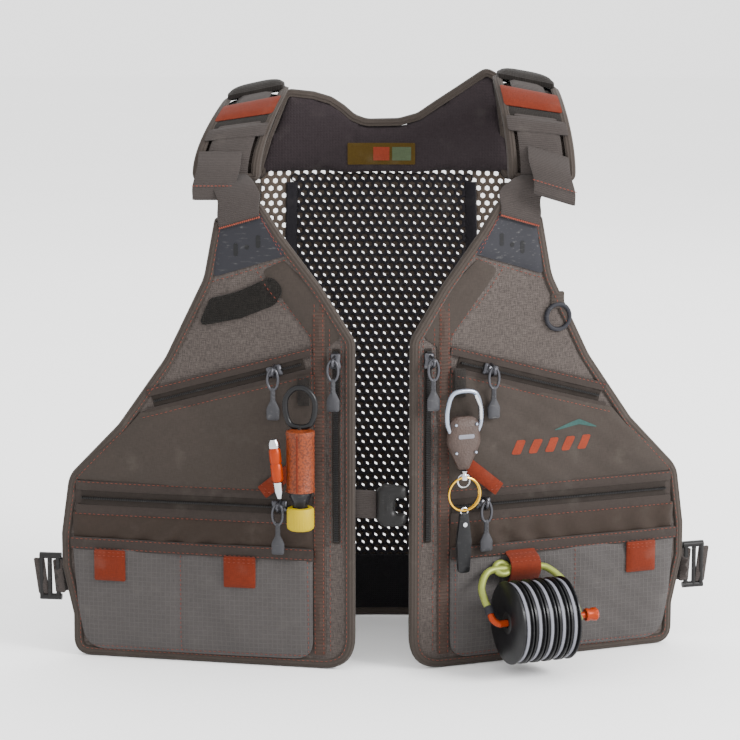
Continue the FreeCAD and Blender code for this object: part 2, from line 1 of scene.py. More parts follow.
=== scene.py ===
"""Fishing vest on its hem: sewn fronts and back, padded shoulders, zippers and an angler's clipped tools.

Sizes are in millimetres on each front's own flat pattern, (u, v, w): u outwards from the front edge, v up,
w out of the cloth.  They become metres in the vest's own frame when a mesh is made.
"""
import json
import logging
import math
from dataclasses import dataclass, field
from enum import Enum
from typing import Callable, Iterable, Sequence

import bmesh
import bpy
import numpy as np
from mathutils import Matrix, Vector
from mathutils.bvhtree import BVHTree
from mathutils.geometry import delaunay_2d_cdt


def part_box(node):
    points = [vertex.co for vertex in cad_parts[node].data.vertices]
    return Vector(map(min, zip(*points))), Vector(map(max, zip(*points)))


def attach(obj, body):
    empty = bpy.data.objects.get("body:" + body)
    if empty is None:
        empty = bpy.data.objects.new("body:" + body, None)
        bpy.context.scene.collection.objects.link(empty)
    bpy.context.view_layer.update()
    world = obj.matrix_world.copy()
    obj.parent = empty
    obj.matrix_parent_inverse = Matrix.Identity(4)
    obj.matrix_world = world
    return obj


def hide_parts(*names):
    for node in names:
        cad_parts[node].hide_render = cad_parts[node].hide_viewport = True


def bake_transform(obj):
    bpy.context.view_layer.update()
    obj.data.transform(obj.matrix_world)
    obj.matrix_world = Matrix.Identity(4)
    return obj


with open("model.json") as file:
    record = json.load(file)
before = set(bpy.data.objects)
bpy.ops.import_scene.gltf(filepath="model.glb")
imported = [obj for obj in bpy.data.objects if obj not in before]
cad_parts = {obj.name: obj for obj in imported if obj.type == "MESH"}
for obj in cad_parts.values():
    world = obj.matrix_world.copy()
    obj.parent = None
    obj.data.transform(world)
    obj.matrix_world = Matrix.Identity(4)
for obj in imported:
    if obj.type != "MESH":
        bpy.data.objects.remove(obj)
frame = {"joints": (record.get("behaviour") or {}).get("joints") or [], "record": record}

LOG = logging.getLogger("vest")
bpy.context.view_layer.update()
MM = 0.001
Point = tuple[float, float]
Loop = list[Point]
Piece = bpy.types.Object
UP = Vector((0, 0, 1))


# ------------------------------------------------------------------ shader maths
class Wire:
    """A shader socket that takes part in Python expressions."""

    def __init__(self, sheet: "ShaderSheet", socket: bpy.types.NodeSocket) -> None:
        """Hold the socket and the sheet that its nodes go on."""
        self.sheet = sheet
        self.socket = socket

    def maths(self, operation: str, *others: "Wire | float") -> "Wire":
        """Add one Math node.

        Args:
            operation: The Math node's operation.
            others: The node's further inputs.

        Returns:
            The node's result.
        """
        return self.sheet.node("ShaderNodeMath", {"operation": operation}, (self, *others))

    def __add__(self, other: "Wire | float") -> "Wire":
        """Sum."""
        return self.maths("ADD", other)

    def __sub__(self, other: "Wire | float") -> "Wire":
        """Difference."""
        return self.maths("SUBTRACT", other)

    def __rsub__(self, other: float) -> "Wire":
        """Difference from a number."""
        return self.sheet.node("ShaderNodeMath", {"operation": "SUBTRACT"}, (other, self))

    def __mul__(self, other: "Wire | float") -> "Wire":
        """Product."""
        return self.maths("MULTIPLY", other)

    def __truediv__(self, other: "Wire | float") -> "Wire":
        """Quotient."""
        return self.maths("DIVIDE", other)

    __radd__ = __add__
    __rmul__ = __mul__


class ShaderSheet:
    """One material's node tree, and the few ways that its nodes are added."""

    def __init__(self, name: str, on_cloth: bool) -> None:
        """Start an empty material.

        Args:
            name: The material's name.
            on_cloth: Whether patterns follow the cloth's own map, and not the object's axes.
        """
        self.material = bpy.data.materials.new(name)
        self.material.use_nodes = True
        self.tree = self.material.node_tree
        self.tree.nodes.clear()
        if on_cloth:
            self.place = self.node("ShaderNodeUVMap", {"uv_map": "Cloth"}, (), "UV")
        else:
            self.place = self.node("ShaderNodeTexCoord", {}, (), "Object")

    def node(self, kind: str, settings: dict, values: Sequence | dict = (), out: str | int = 0) -> Wire:
        """Add a node.

        Args:
            kind: The node's type.
            settings: Its properties, set before its sockets.
            values: Values or wires of its inputs, in order or by name.
            out: The output that is returned.

        Returns:
            That output.
        """
        node = self.tree.nodes.new(kind)
        for key, value in settings.items():
            setattr(node, key, value)
        pairs = values.items() if isinstance(values, dict) else enumerate(values)
        for key, value in pairs:
            if isinstance(value, Wire):
                self.tree.links.new(value.socket, node.inputs[key])
            else:
                node.inputs[key].default_value = value
        return Wire(self, node.outputs[out])

    def noise(self, scale: float, detail: float = 3.0, stretch: tuple = (1, 1, 1),
              rough: float = 0.55) -> Wire:
        """Noise from 0 to 1 at a scale per metre, stretched along the axes."""
        place = self.node("ShaderNodeMapping", {}, {"Vector": self.place, "Scale": stretch})
        return self.node("ShaderNodeTexNoise", {}, {"Vector": place, "Scale": scale, "Detail": detail,
                                                    "Roughness": rough})

    def ridges(self, axis: int, pitch: float) -> Wire:
        """A wave from 0 to 1 along one axis, with its pitch in metres."""
        split = self.node("ShaderNodeSeparateXYZ", {}, (self.place,), axis)
        return (split * (2 * math.pi / pitch)).maths("SINE") * 0.5 + 0.5

    def ramp(self, value: Wire, low: float, high: float) -> Wire:
        """Smooth step of a value between two limits."""
        return self.node("ShaderNodeMapRange", {"interpolation_type": "SMOOTHSTEP"},
                         {"Value": value, "From Min": low, "From Max": high})

    def mix(self, share: Wire, first: tuple | Wire, second: tuple | Wire) -> Wire:
        """Mix two colours.

        Args:
            share: How much of the second colour shows.
            first: First colour.
            second: Second colour.

        Returns:
            The mixed colour.
        """
        node = self.tree.nodes.new("ShaderNodeMix")
        node.data_type = "RGBA"
        self.tree.links.new(share.socket, node.inputs[0])
        for key, value in ((6, first), (7, second)):
            if isinstance(value, Wire):
                self.tree.links.new(value.socket, node.inputs[key])
            else:
                node.inputs[key].default_value = value
        return Wire(self, node.outputs[2])

    def finish(self, colour: Wire, rough: Wire | float, height: Wire | None, depth: float,
               **constants: float) -> bpy.types.Material:
        """Close the material with a Principled shader.

        Args:
            colour: Base colour.
            rough: Roughness.
            height: Height of the relief, from 0 to 1.
            depth: Depth of the relief, in metres.
            constants: Further Principled inputs, named with underscores.

        Returns:
            The material.
        """
        values: dict = {"Base Color": colour, "Roughness": rough}
        values.update({key.replace("_", " "): value for key, value in constants.items()})
        if height is not None:
            values["Normal"] = self.node("ShaderNodeBump", {}, {"Strength": 0.9, "Distance": depth,
                                                                "Height": height})
        shader = self.node("ShaderNodeBsdfPrincipled", {}, values)
        output = self.tree.nodes.new("ShaderNodeOutputMaterial")
        self.tree.links.new(shader.socket, output.inputs["Surface"])
        return self.material


def colour_of(code: str, lift: float = 1.0) -> tuple[float, float, float, float]:
    """Linear colour of a hexadecimal screen colour, made lighter or darker by lift.

    Args:
        code: The colour, as #rrggbb.
        lift: Factor on its brightness.

    Returns:
        Red, green, blue and alpha.
    """
    values = [int(code[i:i + 2], 16) / 255 for i in (1, 3, 5)]
    linear = [c / 12.92 if c <= 0.04045 else ((c + 0.055) / 1.055) ** 2.4 for c in values]
    return (*[min(c * lift, 1.0) for c in linear], 1.0)


@dataclass(frozen=True)
class Cloth:
    """A woven finish: its colour, flecks, weave and sheen, with painted shade in the grooves of ribbed tape.
    """

    name: str
    colour: str
    fleck: float = 0.25
    pitch: float = 0.0011
    relief: float = 0.00025
    rough: float = 0.88
    sheen: float = 0.05
    ripstop: float = 0.0
    rib: float = 0.0

    def material(self) -> bpy.types.Material:
        """Build the finish on the cloth's own map."""
        sheet = ShaderSheet(self.name, True)
        weave = sheet.ridges(0, self.pitch) * sheet.ridges(1, self.pitch)
        slub = sheet.noise(900, 2, (0.25, 2.2, 1)) * 0.5 + sheet.noise(900, 2, (2.2, 0.25, 1)) * 0.5
        broad = sheet.noise(14, 4)
        worn = sheet.ramp(sheet.noise(45, 5), 0.55, 0.8)
        shade = sheet.ramp(slub, 0.38, 0.62)
        colour = sheet.mix(shade, colour_of(self.colour, 1 - self.fleck),
                           colour_of(self.colour, 1 + self.fleck))
        colour = sheet.mix(broad * 0.35, colour, colour_of(self.colour, 0.72))
        colour = sheet.mix(worn * 0.03, colour, colour_of("#b9b2a6"))
        height = weave * 0.6 + slub * 0.8
        if self.ripstop:
            line = sheet.ramp(sheet.ridges(0, self.ripstop), 0.9, 0.98)
            other = sheet.ramp(sheet.ridges(1, self.ripstop), 0.9, 0.98)
            grid = line.maths("MAXIMUM", other)
            colour = sheet.mix(grid * 0.45, colour, colour_of(self.colour, 1.5))
            height = height + grid * 1.2
        if self.rib:
            ribs = sheet.ridges(1, self.rib)
            # painted shade: the grooves between the ribs are darkened towards 0.6 of the colour
            colour = sheet.mix((1 - ribs) * 0.3, colour, colour_of(self.colour, 0.6))
            height = height * 0.5 + ribs * 1.5
        rough = sheet.noise(120, 3) * 0.12 + (self.rough - 0.06)
        return sheet.finish(colour, rough, height, self.relief, Sheen_Weight=self.sheen, Sheen_Roughness=0.5,
                            Specular_IOR_Level=0.1)


@dataclass(frozen=True)
class Hard:
    """A hard finish, such as moulded plastic, anodised metal or plated wire."""

    name: str
    colour: str
    rough: float = 0.4
    metal: float = 0.0
    grain: float = 0.00004
    scratch: float = 0.25
    coat: float = 0.0

    def material(self) -> bpy.types.Material:
        """Build the finish on the piece's own axes."""
        sheet = ShaderSheet(self.name, False)
        fine = sheet.noise(2600, 2)
        streaks = sheet.ramp(sheet.noise(420, 3, (0.15, 1.6, 1.6)), 0.58, 0.75)
        broad = sheet.noise(60, 4)
        colour = sheet.mix(broad, colour_of(self.colour, 0.85), colour_of(self.colour, 1.12))
        colour = sheet.mix(streaks * self.scratch * 0.4, colour, colour_of("#a8a6a2"))
        rough = broad * 0.12 + streaks * (self.scratch * 0.4) + (self.rough - 0.06)
        return sheet.finish(colour, rough, fine + streaks * 0.5, self.grain, Metallic=self.metal,
                            Coat_Weight=self.coat, Specular_IOR_Level=0.2)


@dataclass(frozen=True)
class Bark:
    """Grained leather-look finish with pits and rubbed high spots."""

    name: str
    colour: str
    blotch: float = 0.2

    def material(self) -> bpy.types.Material:
        """Build the finish on the piece's own axes."""
        sheet = ShaderSheet(self.name, False)
        cells = sheet.node("ShaderNodeTexVoronoi", {"feature": "F1"}, {"Vector": sheet.place, "Scale": 700.0})
        broad = sheet.noise(90, 5)
        blotch = sheet.ramp(sheet.noise(640, 3), 0.42, 0.6)
        colour = sheet.mix(broad, colour_of(self.colour, 0.8), colour_of(self.colour, 1.3))
        colour = sheet.mix(blotch * self.blotch, colour, colour_of(self.colour, 0.3))
        return sheet.finish(colour, broad * 0.2 + 0.45, cells + broad * 0.6, 0.0003, Specular_IOR_Level=0.3)


FINISHES = {finish.name: finish for finish in (
    Cloth("upper_melange", "#413b38", fleck=0.4, pitch=0.0014, relief=0.0003),
    Cloth("chest_laminate", "#312b27", fleck=0.12, pitch=0.0009, relief=0.00012, rough=0.75),
    Cloth("band_laminate", "#2c2623", fleck=0.12, pitch=0.0009, relief=0.00012, rough=0.78),
    Cloth("gather_cloth", "#2a221d", fleck=0.1, pitch=0.0008, relief=0.00012, rough=0.7),
    Cloth("pocket_ripstop", "#3e3b3a", fleck=0.1, pitch=0.0008, ripstop=0.0034, relief=0.0002, rough=0.72),
    Cloth("binding_tape", "#37312d", fleck=0.14, pitch=0.0012, rib=0.0024),
    Cloth("rosy_tape", "#3a2f2a", fleck=0.14, pitch=0.0012, rib=0.0024),
    Cloth("zipper_tape", "#241f1c", fleck=0.15, pitch=0.0008, rough=0.85),
    Cloth("grey_webbing", "#383331", fleck=0.12, pitch=0.0012, rib=0.0013, relief=0.00018),
    Cloth("orange_cloth", "#581e0d", fleck=0.14, pitch=0.001, relief=0.0002, rough=0.8),
    Cloth("dark_loop", "#201d1b", fleck=0.2, pitch=0.0012, relief=0.0004),
    Cloth("air_mesh", "#2b2522", fleck=0.35, pitch=0.0024, relief=0.0009),
    Cloth("collar_mesh", "#272123", fleck=0.15, pitch=0.0022, relief=0.0003),
    Cloth("back_mesh", "#18161a", fleck=0.2, pitch=0.0009, rough=0.7),
    Cloth("side_mesh", "#483f38", fleck=0.25, pitch=0.0009, rough=0.75),
    Cloth("hem_cloth", "#121113", fleck=0.25, pitch=0.0016, relief=0.0004),
    Cloth("hook_pile", "#161412", fleck=0.5, pitch=0.0013, relief=0.0007, rough=0.95),
    Cloth("blank_label", "#40310f", fleck=0.1, pitch=0.0008),
    Cloth("label_sage", "#414b37", fleck=0.1, pitch=0.0008),
    Cloth("rust_thread", "#73382c", fleck=0.1, pitch=0.0006, relief=0.00005),
    Cloth("rust_print", "#6e2c1c", fleck=0.1, pitch=0.0009),
    Cloth("teal_print", "#2c4441", fleck=0.1, pitch=0.0009),
    Hard("slate_rubber", "#1d1d22", rough=0.62),
    Hard("gunmetal", "#454549", rough=0.34, metal=0.85),
    Hard("pull_rubber", "#323235", rough=0.6),
    Hard("black_acetal", "#141313", rough=0.4, scratch=0.1),
    Hard("spool_black", "#0b0b0d", rough=0.34, scratch=0.08, coat=0.05),
    Hard("spool_rim", "#6a6a72", rough=0.5),
    Hard("green_anodised", "#7c8440", rough=0.4, metal=0.35, scratch=0.3),
    Hard("orange_anodised", "#862a00", rough=0.34, metal=0.25, scratch=0.12),
    Hard("silver_anodised", "#8f96a5", rough=0.28, metal=0.85, scratch=0.5),
    Hard("bright_steel", "#b4b6ba", rough=0.22, metal=1.0, scratch=0.5),
    Hard("brass_wire", "#cda035", rough=0.22, metal=0.95),
    Hard("yellow_cap", "#9c8600", rough=0.5, scratch=0.0),
    Hard("bottle_black", "#0e0d10", rough=0.3, coat=0.1),
    Bark("burnt_sleeve", "#6a2a05", 0.7),
    Bark("case_leather", "#3a2e29", 0.15),
)}


@dataclass
class Dyes:
    """Materials that have been made so far, one for each finish."""

    made: dict[str, bpy.types.Material] = field(default_factory=dict)

    def get(self, name: str) -> bpy.types.Material:
        """The material of a finish, made on its first use."""
        if name not in self.made:
            self.made[name] = FINISHES[name].material()
        return self.made[name]


DYES = Dyes()


# ------------------------------------------------------------------ mesh helpers
def placed(name: str, data: bpy.types.ID) -> Piece:
    """An object of some data, in the scene."""
    obj = bpy.data.objects.new(name, data)
    bpy.context.scene.collection.objects.link(obj)
    return obj


def evaluated(obj: Piece) -> bpy.types.Mesh:
    """A plain mesh of a piece as its modifiers leave it."""
    depsgraph = bpy.context.evaluated_depsgraph_get()
    return bpy.data.meshes.new_from_object(obj.evaluated_get(depsgraph), depsgraph=depsgraph)


def middle_of(node: str) -> Vector:
    """Middle of a CAD node's box, in metres."""
    low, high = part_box(node)
    return (low + high) / 2


def upright(node: str) -> tuple[Vector, float]:
    """Foot of an upright round node's axis, in metres, and its radius in millimetres."""
    low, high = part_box(node)
    return Vector(((low.x + high.x) / 2, (low.y + high.y) / 2, low.z)), (high.x - low.x) / 2 / MM


def tube_faces(rows: int, size: int, closed: bool, whole: bool = True) -> list[tuple[int, ...]]:
    """Faces between points that stand in rows; an open tube gets caps.

    Args:
        rows: Number of rows.
        size: Points in each row.
        closed: Whether the last row meets the first.
        whole: Whether each row is a closed section.

    Returns:
        Vertex numbers of each face.
    """
    faces = []
    for i in range(rows if closed else rows - 1):
        j = (i + 1) % rows
        for k in range(size if whole else size - 1):
            n = (k + 1) % size
            faces.append((i * size + k, j * size + k, j * size + n, i * size + n))
    if not closed:
        faces += [tuple(range(size)), tuple(range((rows - 1) * size, rows * size))]
    return faces


def piece_from(name: str, verts: Sequence, faces: Sequence, finish: str, uvs: Sequence | None = None,
               sharp: float = 40.0, outward: bool = True) -> Piece:
    """Make a mesh piece in metres, with its cloth map and finish.

    Args:
        name: The piece's name.
        verts: Points in the vest's frame, in metres.
        faces: Vertex numbers of each face.
        finish: Name of its finish.
        uvs: One map point for each vertex, in metres.
        sharp: Angle in degrees past which an edge stays sharp.
        outward: Whether the normals are worked out again.

    Returns:
        The object.
    """
    mesh = bpy.data.meshes.new(name)
    mesh.from_pydata([tuple(v) for v in verts], [], [tuple(f) for f in faces])
    bm = bmesh.new()
    bm.from_mesh(mesh)
    layer = bm.loops.layers.uv.new("Cloth")
    for face in bm.faces:
        for loop in face.loops:
            at = loop.vert.co
            loop[layer].uv = uvs[loop.vert.index] if uvs is not None else (at.x, at.z)
    if outward:
        bmesh.ops.recalc_face_normals(bm, faces=bm.faces[:])
    bm.to_mesh(mesh)
    bm.free()
    mesh.materials.append(DYES.get(finish))
    mesh.shade_smooth()
    mesh.set_sharp_from_angle(angle=math.radians(sharp))
    return placed(name, mesh)


def settle(obj: Piece, body: str, slot: str, *nodes: str) -> Piece:
    """Let a piece ride on a body, and hide the CAD nodes that it stands for.

    Args:
        obj: The piece.
        body: Name of its body.
        slot: Not used.
        nodes: Names of the CAD nodes.

    Returns:
        The same piece.
    """
    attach(obj, body)
    if nodes:
        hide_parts(*nodes)
    LOG.info("%s rides on %s, %d faces", obj.name, body, len(obj.data.polygons))
    return obj


def joined(name: str, parts: list[Piece]) -> Piece:
    """Join pieces into one, under a new name, keeping each one's finish.

    Args:
        name: The joined piece's name.
        parts: Pieces to join, the kept one first.

    Returns:
        The joined piece.
    """
    with bpy.context.temp_override(active_object=parts[0], object=parts[0], selected_objects=parts,
                                   selected_editable_objects=parts):
        bpy.ops.object.join()
    parts[0].name = name
    return parts[0]


def rounded(points: Sequence[tuple[float, float, float]], steps: int = 7) -> Loop:
    """Closed outline from (x, y, corner radius) points, with its corners as arcs.

    Args:
        points: Corners in order.
        steps: Steps of each arc.

    Returns:
        The outline.
    """
    outline: Loop = []
    count = len(points)
    for i, (x, y, radius) in enumerate(points):
        here = Vector((x, y))
        before = Vector(points[i - 1][:2]) - here
        after = Vector(points[(i + 1) % count][:2]) - here
        if radius <= 0:
            outline.append((x, y))
            continue
        half = before.angle(after) / 2
        reach = min(radius / math.tan(half), 0.45 * before.length, 0.45 * after.length)
        start, end = here + before.normalized() * reach, here + after.normalized() * reach
        for k in range(steps + 1):
            t = k / steps
            at = start * (1 - t) ** 2 + here * 2 * t * (1 - t) + end * t * t
            outline.append((at.x, at.y))
    return outline


def square(x0: float, y0: float, x1: float, y1: float, r: float = 0.0) -> list:
    """Corner points of a box outline."""
    return [(x0, y0, r), (x1, y0, r), (x1, y1, r), (x0, y1, r)]


def strip(start: Point, end: Point, wide: float, r: float = 0.0) -> list:
    """Corner points of a flat strap between two points.

    Args:
        start: Middle of one end.
        end: Middle of the other end.
        wide: The strap's width.
        r: Corner radius.

    Returns:
        Its corners with their radius.
    """
    run = Vector(end) - Vector(start)
    side = Vector((-run.y, run.x)).normalized() * wide / 2
    a, b = Vector(start), Vector(end)
    return [(*(a + side), r), (*(b + side), r), (*(b - side), r), (*(a - side), r)]


def edge_distance(points: np.ndarray, loop: Loop) -> np.ndarray:
    """Distance of each flat point from an outline.

    Args:
        points: The flat points.
        loop: The outline.

    Returns:
        One distance for each point.
    """
    corners = np.array(loop)
    ahead = np.roll(corners, -1, axis=0)
    best = np.full(len(points), 1e9)
    for a, b in zip(corners, ahead):
        run = b - a
        long = max(float(run @ run), 1e-9)
        t = np.clip(((points - a) @ run) / long, 0, 1)
        best = np.minimum(best, np.linalg.norm(points - a - t[:, None] * run, axis=1))
    return best


def resampled(path: Sequence[Point], step: float) -> Loop:
    """The same path with points at even steps.

    Args:
        path: The path's corners.
        step: Distance between points.

    Returns:
        The new points.
    """
    points = [np.array(p, float) for p in path]
    result = []
    for a, b in zip(points, points[1:]):
        count = max(int(np.linalg.norm(b - a) / step), 1)
        result += [tuple(a + (b - a) * k / count) for k in range(count)]
    return result + [tuple(points[-1])]


def inset(loop: Loop, distance: float) -> Loop:
    """A closed outline moved inwards by a distance at each point.

    Args:
        loop: The outline.
        distance: How far it moves.

    Returns:
        The moved outline.
    """
    points = np.array(loop)
    run = np.roll(points, -1, axis=0) - np.roll(points, 1, axis=0)
    run /= np.maximum(np.linalg.norm(run, axis=1), 1e-9)[:, None]
    ahead = np.roll(points, -1, axis=0)
    turn = np.sign(np.sum(points[:, 0] * ahead[:, 1] - ahead[:, 0] * points[:, 1]))
    return [tuple(p) for p in points + np.stack([-run[:, 1], run[:, 0]], 1) * distance * turn]


def cut(loop: Loop, cell: float) -> tuple[np.ndarray, list, list]:
    """Fill an outline with evenly sized triangles.

    Args:
        loop: The outline.
        cell: Size of the triangles.

    Returns:
        The flat points, the triangles and the edges of the rim.
    """
    ring = np.array(resampled(list(loop) + [loop[0]], cell)[:-1])
    low, high = ring.min(0), ring.max(0)
    rows = np.arange(low[1] + cell / 2, high[1], cell * 0.87)
    grid = [(x + (cell / 2 if number % 2 else 0), y) for number, y in enumerate(rows)
            for x in np.arange(low[0] + cell / 4, high[0], cell)]
    inner = np.array(grid or [(0.0, 0.0)])
    ahead = np.roll(ring, -1, axis=0)
    crossings = np.zeros(len(inner), int)
    for a, b in zip(ring, ahead):
        between = (a[1] > inner[:, 1]) != (b[1] > inner[:, 1])
        rise = b[1] - a[1] if b[1] != a[1] else 1e-9
        crossings += between & (inner[:, 0] < (b[0] - a[0]) * (inner[:, 1] - a[1]) / rise + a[0])
    inner = inner[(crossings % 2 == 1) & (edge_distance(inner, loop) > cell * 0.45)]
    points = [Vector(p) for p in np.vstack([ring, inner])]
    verts, _, faces, *_ = delaunay_2d_cdt(points, [], [list(range(len(ring)))], 1, 1e-5)
    count: dict[tuple[int, int], int] = {}
    for face in faces:
        for k, start in enumerate(face):
            end = face[(k + 1) % len(face)]
            count[(start, end)] = 1
    rim = [edge for edge in count if edge[::-1] not in count]
    return np.array([tuple(v) for v in verts]), faces, rim


Height = Callable[[np.ndarray, np.ndarray], np.ndarray]
Mapping = Callable[[float, float, float], Vector]


def slab(name: str, loop: Loop, low: float, high: float, place: Mapping, finish: str, cell: float = 4.0,
         edge: float = 2.0, relief: Height | None = None, domed: float = 0.0) -> Piece:
    """A sewn layer: a closed sheet of an outline with a rolled edge and a relief on its outer face.

    Args:
        name: The piece's name.
        loop: Outline on the flat pattern, in millimetres.
        low: Height of its back.
        high: Height of its face.
        place: Maps (u, v, w) to the vest's frame.
        finish: Name of its finish.
        cell: Size of the faces, in millimetres.
        edge: Width of the rolled edge.
        relief: Extra height of the face, from its points and their distance to the outline.
        domed: Extra height far from the outline.

    Returns:
        The piece.
    """
    flat, faces, rim = cut(loop, cell)
    far = edge_distance(flat, loop)
    roll = 1 - np.exp(-far / edge) if edge > 0 else np.ones(len(flat))
    top = low + (high - low) * (0.45 + 0.55 * roll) if edge > 0 else np.full(len(flat), high)
    top = top + domed * (1 - np.exp(-far / 18))
    if relief is not None:
        top = top + relief(flat, far) * np.minimum(far / 3, 1)
    count = len(flat)
    verts = [place(u, v, w) for (u, v), w in zip(flat, top)]
    verts += [place(u, v, low) for u, v in flat]
    walls = [(a, b, b + count, a + count) for a, b in rim]
    back = [[i + count for i in reversed(f)] for f in faces]
    uvs = [(u * MM, v * MM) for u, v in flat] * 2
    return piece_from(name, verts, faces + back + walls, finish, uvs)


def swept(name: str, path: Loop, profile: Loop, place: Mapping, finish: str, closed: bool = True,
          base: float = 0.0) -> Piece:
    """A bound edge: a closed profile of (inwards, height) points carried along a flat path.

    Args:
        name: The piece's name.
        path: Flat points that it follows.
        profile: Closed section; its first number is to the path's left.
        place: Maps (u, v, w) to the vest's frame.
        finish: Name of its finish.
        closed: Whether the path is a closed loop.
        base: Height added to the section.

    Returns:
        The piece.
    """
    points = np.array(path)
    if closed:
        run = np.roll(points, -1, axis=0) - np.roll(points, 1, axis=0)
    else:
        run = np.gradient(points, axis=0)
    run /= np.maximum(np.linalg.norm(run, axis=1), 1e-9)[:, None]
    side = np.stack([-run[:, 1], run[:, 0]], 1)
    verts, uvs = [], []
    along = 0.0
    across = np.cumsum([0] + [math.dist(profile[k], profile[k - 1]) for k in range(1, len(profile))])
    for i, at in enumerate(points):
        along += float(np.linalg.norm(at - points[i - 1])) if i else 0.0
        for k, (d, w) in enumerate(profile):
            verts.append(place(*(at + side[i] * d), w + base))
            uvs.append((along * MM, across[k] * MM))
    faces = tube_faces(len(points), len(profile), closed)
    return piece_from(name, verts, faces, finish, uvs, sharp=60)


def wire(name: str, path: Sequence[Vector], radius: float | Sequence[float], finish: str,
         closed: bool = False,
         sides: int = 12, flat: float = 1.0) -> Piece:
    """A round bar carried along points in the vest's frame.

    Args:
        name: The piece's name.
        path: Points, in metres.
        radius: Its radius in metres, or one radius for each point.
        finish: Name of its finish.
        closed: Whether it is a ring.
        sides: Number of sides of the section.
        flat: Share of the section's thickness that is left.

    Returns:
        The piece.
    """
    points = [Vector(p) for p in path]
    count = len(points)
    radii = list(radius) if isinstance(radius, (list, tuple)) else [radius] * count
    verts, uvs = [], []
    normal = None
    along = 0.0
    for i, at in enumerate(points):
        ahead = points[(i + 1) % count] if closed or i + 1 < count else at
        behind = points[i - 1] if closed or i else at
        tangent = (ahead - behind).normalized()
        if normal is None:
            normal = tangent.orthogonal().normalized()
        normal = (normal - tangent * normal.dot(tangent)).normalized()
        other = tangent.cross(normal)
        along += (at - points[i - 1]).length if i else 0.0
        for k in range(sides):
            angle = 2 * math.pi * k / sides
            verts.append(at + (normal * math.cos(angle) + other * (math.sin(angle) * flat)) * radii[i])
            uvs.append((along, k / sides * 2 * math.pi * radii[i]))
    faces = tube_faces(count, sides, closed)
    return piece_from(name, verts, faces, finish, uvs)


def ribbon(name: str, path: Sequence[Vector], across: Sequence[Vector], wide: float, thick: float,
           finish: str) -> Piece:
    """A flat strap carried along points in the vest's frame.

    Args:
        name: The piece's name.
        path: Points of its middle, in metres.
        across: Direction of its width at each point.
        wide: Its width in millimetres.
        thick: Its thickness in millimetres.
        finish: Name of its finish.

    Returns:
        The piece.
    """
    verts, uvs = [], []
    count = len(path)
    section = [(-0.5, -0.3), (-0.44, -0.5), (0.44, -0.5), (0.5, -0.3), (0.5, 0.3), (0.44, 0.5), (-0.44, 0.5),
               (-0.5, 0.3)]
    along = 0.0
    for i, at in enumerate(path):
        side = Vector(across[i]).normalized()
        tangent = (path[min(i + 1, count - 1)] - path[max(i - 1, 0)]).normalized()
        out = side.cross(tangent).normalized()
        along += (at - path[i - 1]).length if i else 0.0
        for a, t in section:
            verts.append(at + side * (a * wide * MM) + out * (t * thick * MM))
            uvs.append((a * wide * MM, along))
    faces = tube_faces(count, len(section), False)
    return piece_from(name, verts, faces, finish, uvs)


def smooth_path(points: Sequence[Vector], steps: int = 8, closed: bool = False) -> list[Vector]:
    """Points on a smooth curve through the given points.

    Args:
        points: Points to pass through.
        steps: Steps between two of them.
        closed: Whether the curve is a ring.

    Returns:
        The curve's points.
    """
    given = [Vector(p) for p in points]
    count = len(given)
    result = []
    for i in range(count if closed else count - 1):
        p1, p2 = given[i], given[(i + 1) % count]
        p0 = given[i - 1] if closed or i else p1 * 2 - p2
        p3 = given[(i + 2) % count] if closed or i + 2 < count else p2 * 2 - p1
        for k in range(steps):
            t = k / steps
            result.append((p1 * 2 + (p2 - p0) * t + (p0 * 2 - p1 * 5 + p2 * 4 - p3) * t ** 2
                           + (p1 * 3 - p0 - p2 * 3 + p3) * t ** 3) / 2)
    return result if closed else result + [given[-1]]


def ellipse(middle: Vector, first: Vector, second: Vector, count: int) -> list[Vector]:
    """Points round an ellipse with two half-axes, from the second one's end."""
    return [middle + first * math.sin(t) + second * math.cos(t)
            for t in np.linspace(0, 2 * math.pi, count, endpoint=False)]


def lathe(name: str, profile: Sequence[Point], at: Vector, axis: Vector, finish: str, sides: int = 40,
          flutes: float = 0.0) -> Piece:
    """A turned piece.

    Args:
        name: The piece's name.
        profile: (radius, height) points in millimetres; closed when both ends have radius.
        at: Foot of its axis, in metres.
        axis: Direction of its axis.
        finish: Name of its finish.
        sides: Number of faces round it.
        flutes: Depth of ribs round its outer face, in millimetres.

    Returns:
        The piece.
    """
    up = Vector(axis).normalized()
    side = up.orthogonal().normalized()
    other = up.cross(side)
    verts, uvs = [], []
    for i in range(sides):
        angle = 2 * math.pi * i / sides
        out = side * math.cos(angle) + other * math.sin(angle)
        for r, high in profile:
            rib = flutes * (i % 2) if r > max(p[0] for p in profile) * 0.9 else 0
            verts.append(at + out * max(r - rib, 0) * MM + up * high * MM)
            uvs.append((angle * r * MM, high * MM))
    ring = profile[0][0] > 1e-6 and profile[-1][0] > 1e-6
    obj = piece_from(name, verts, tube_faces(sides, len(profile), True, ring), finish, uvs)
    if not ring:
        bm = bmesh.new()
        bm.from_mesh(obj.data)
        bmesh.ops.remove_doubles(bm, verts=bm.verts[:], dist=1e-6)
        bmesh.ops.dissolve_degenerate(bm, edges=bm.edges[:], dist=1e-7)
        bmesh.ops.recalc_face_normals(bm, faces=bm.faces[:])
        bm.to_mesh(obj.data)
        bm.free()
    return obj


# ------------------------------------------------------------------ repeated detail by Geometry Nodes
class Bead(Enum):
    """What is set along a path."""

    THREAD = "MeshIcoSphere"
    TOOTH = "MeshCube"


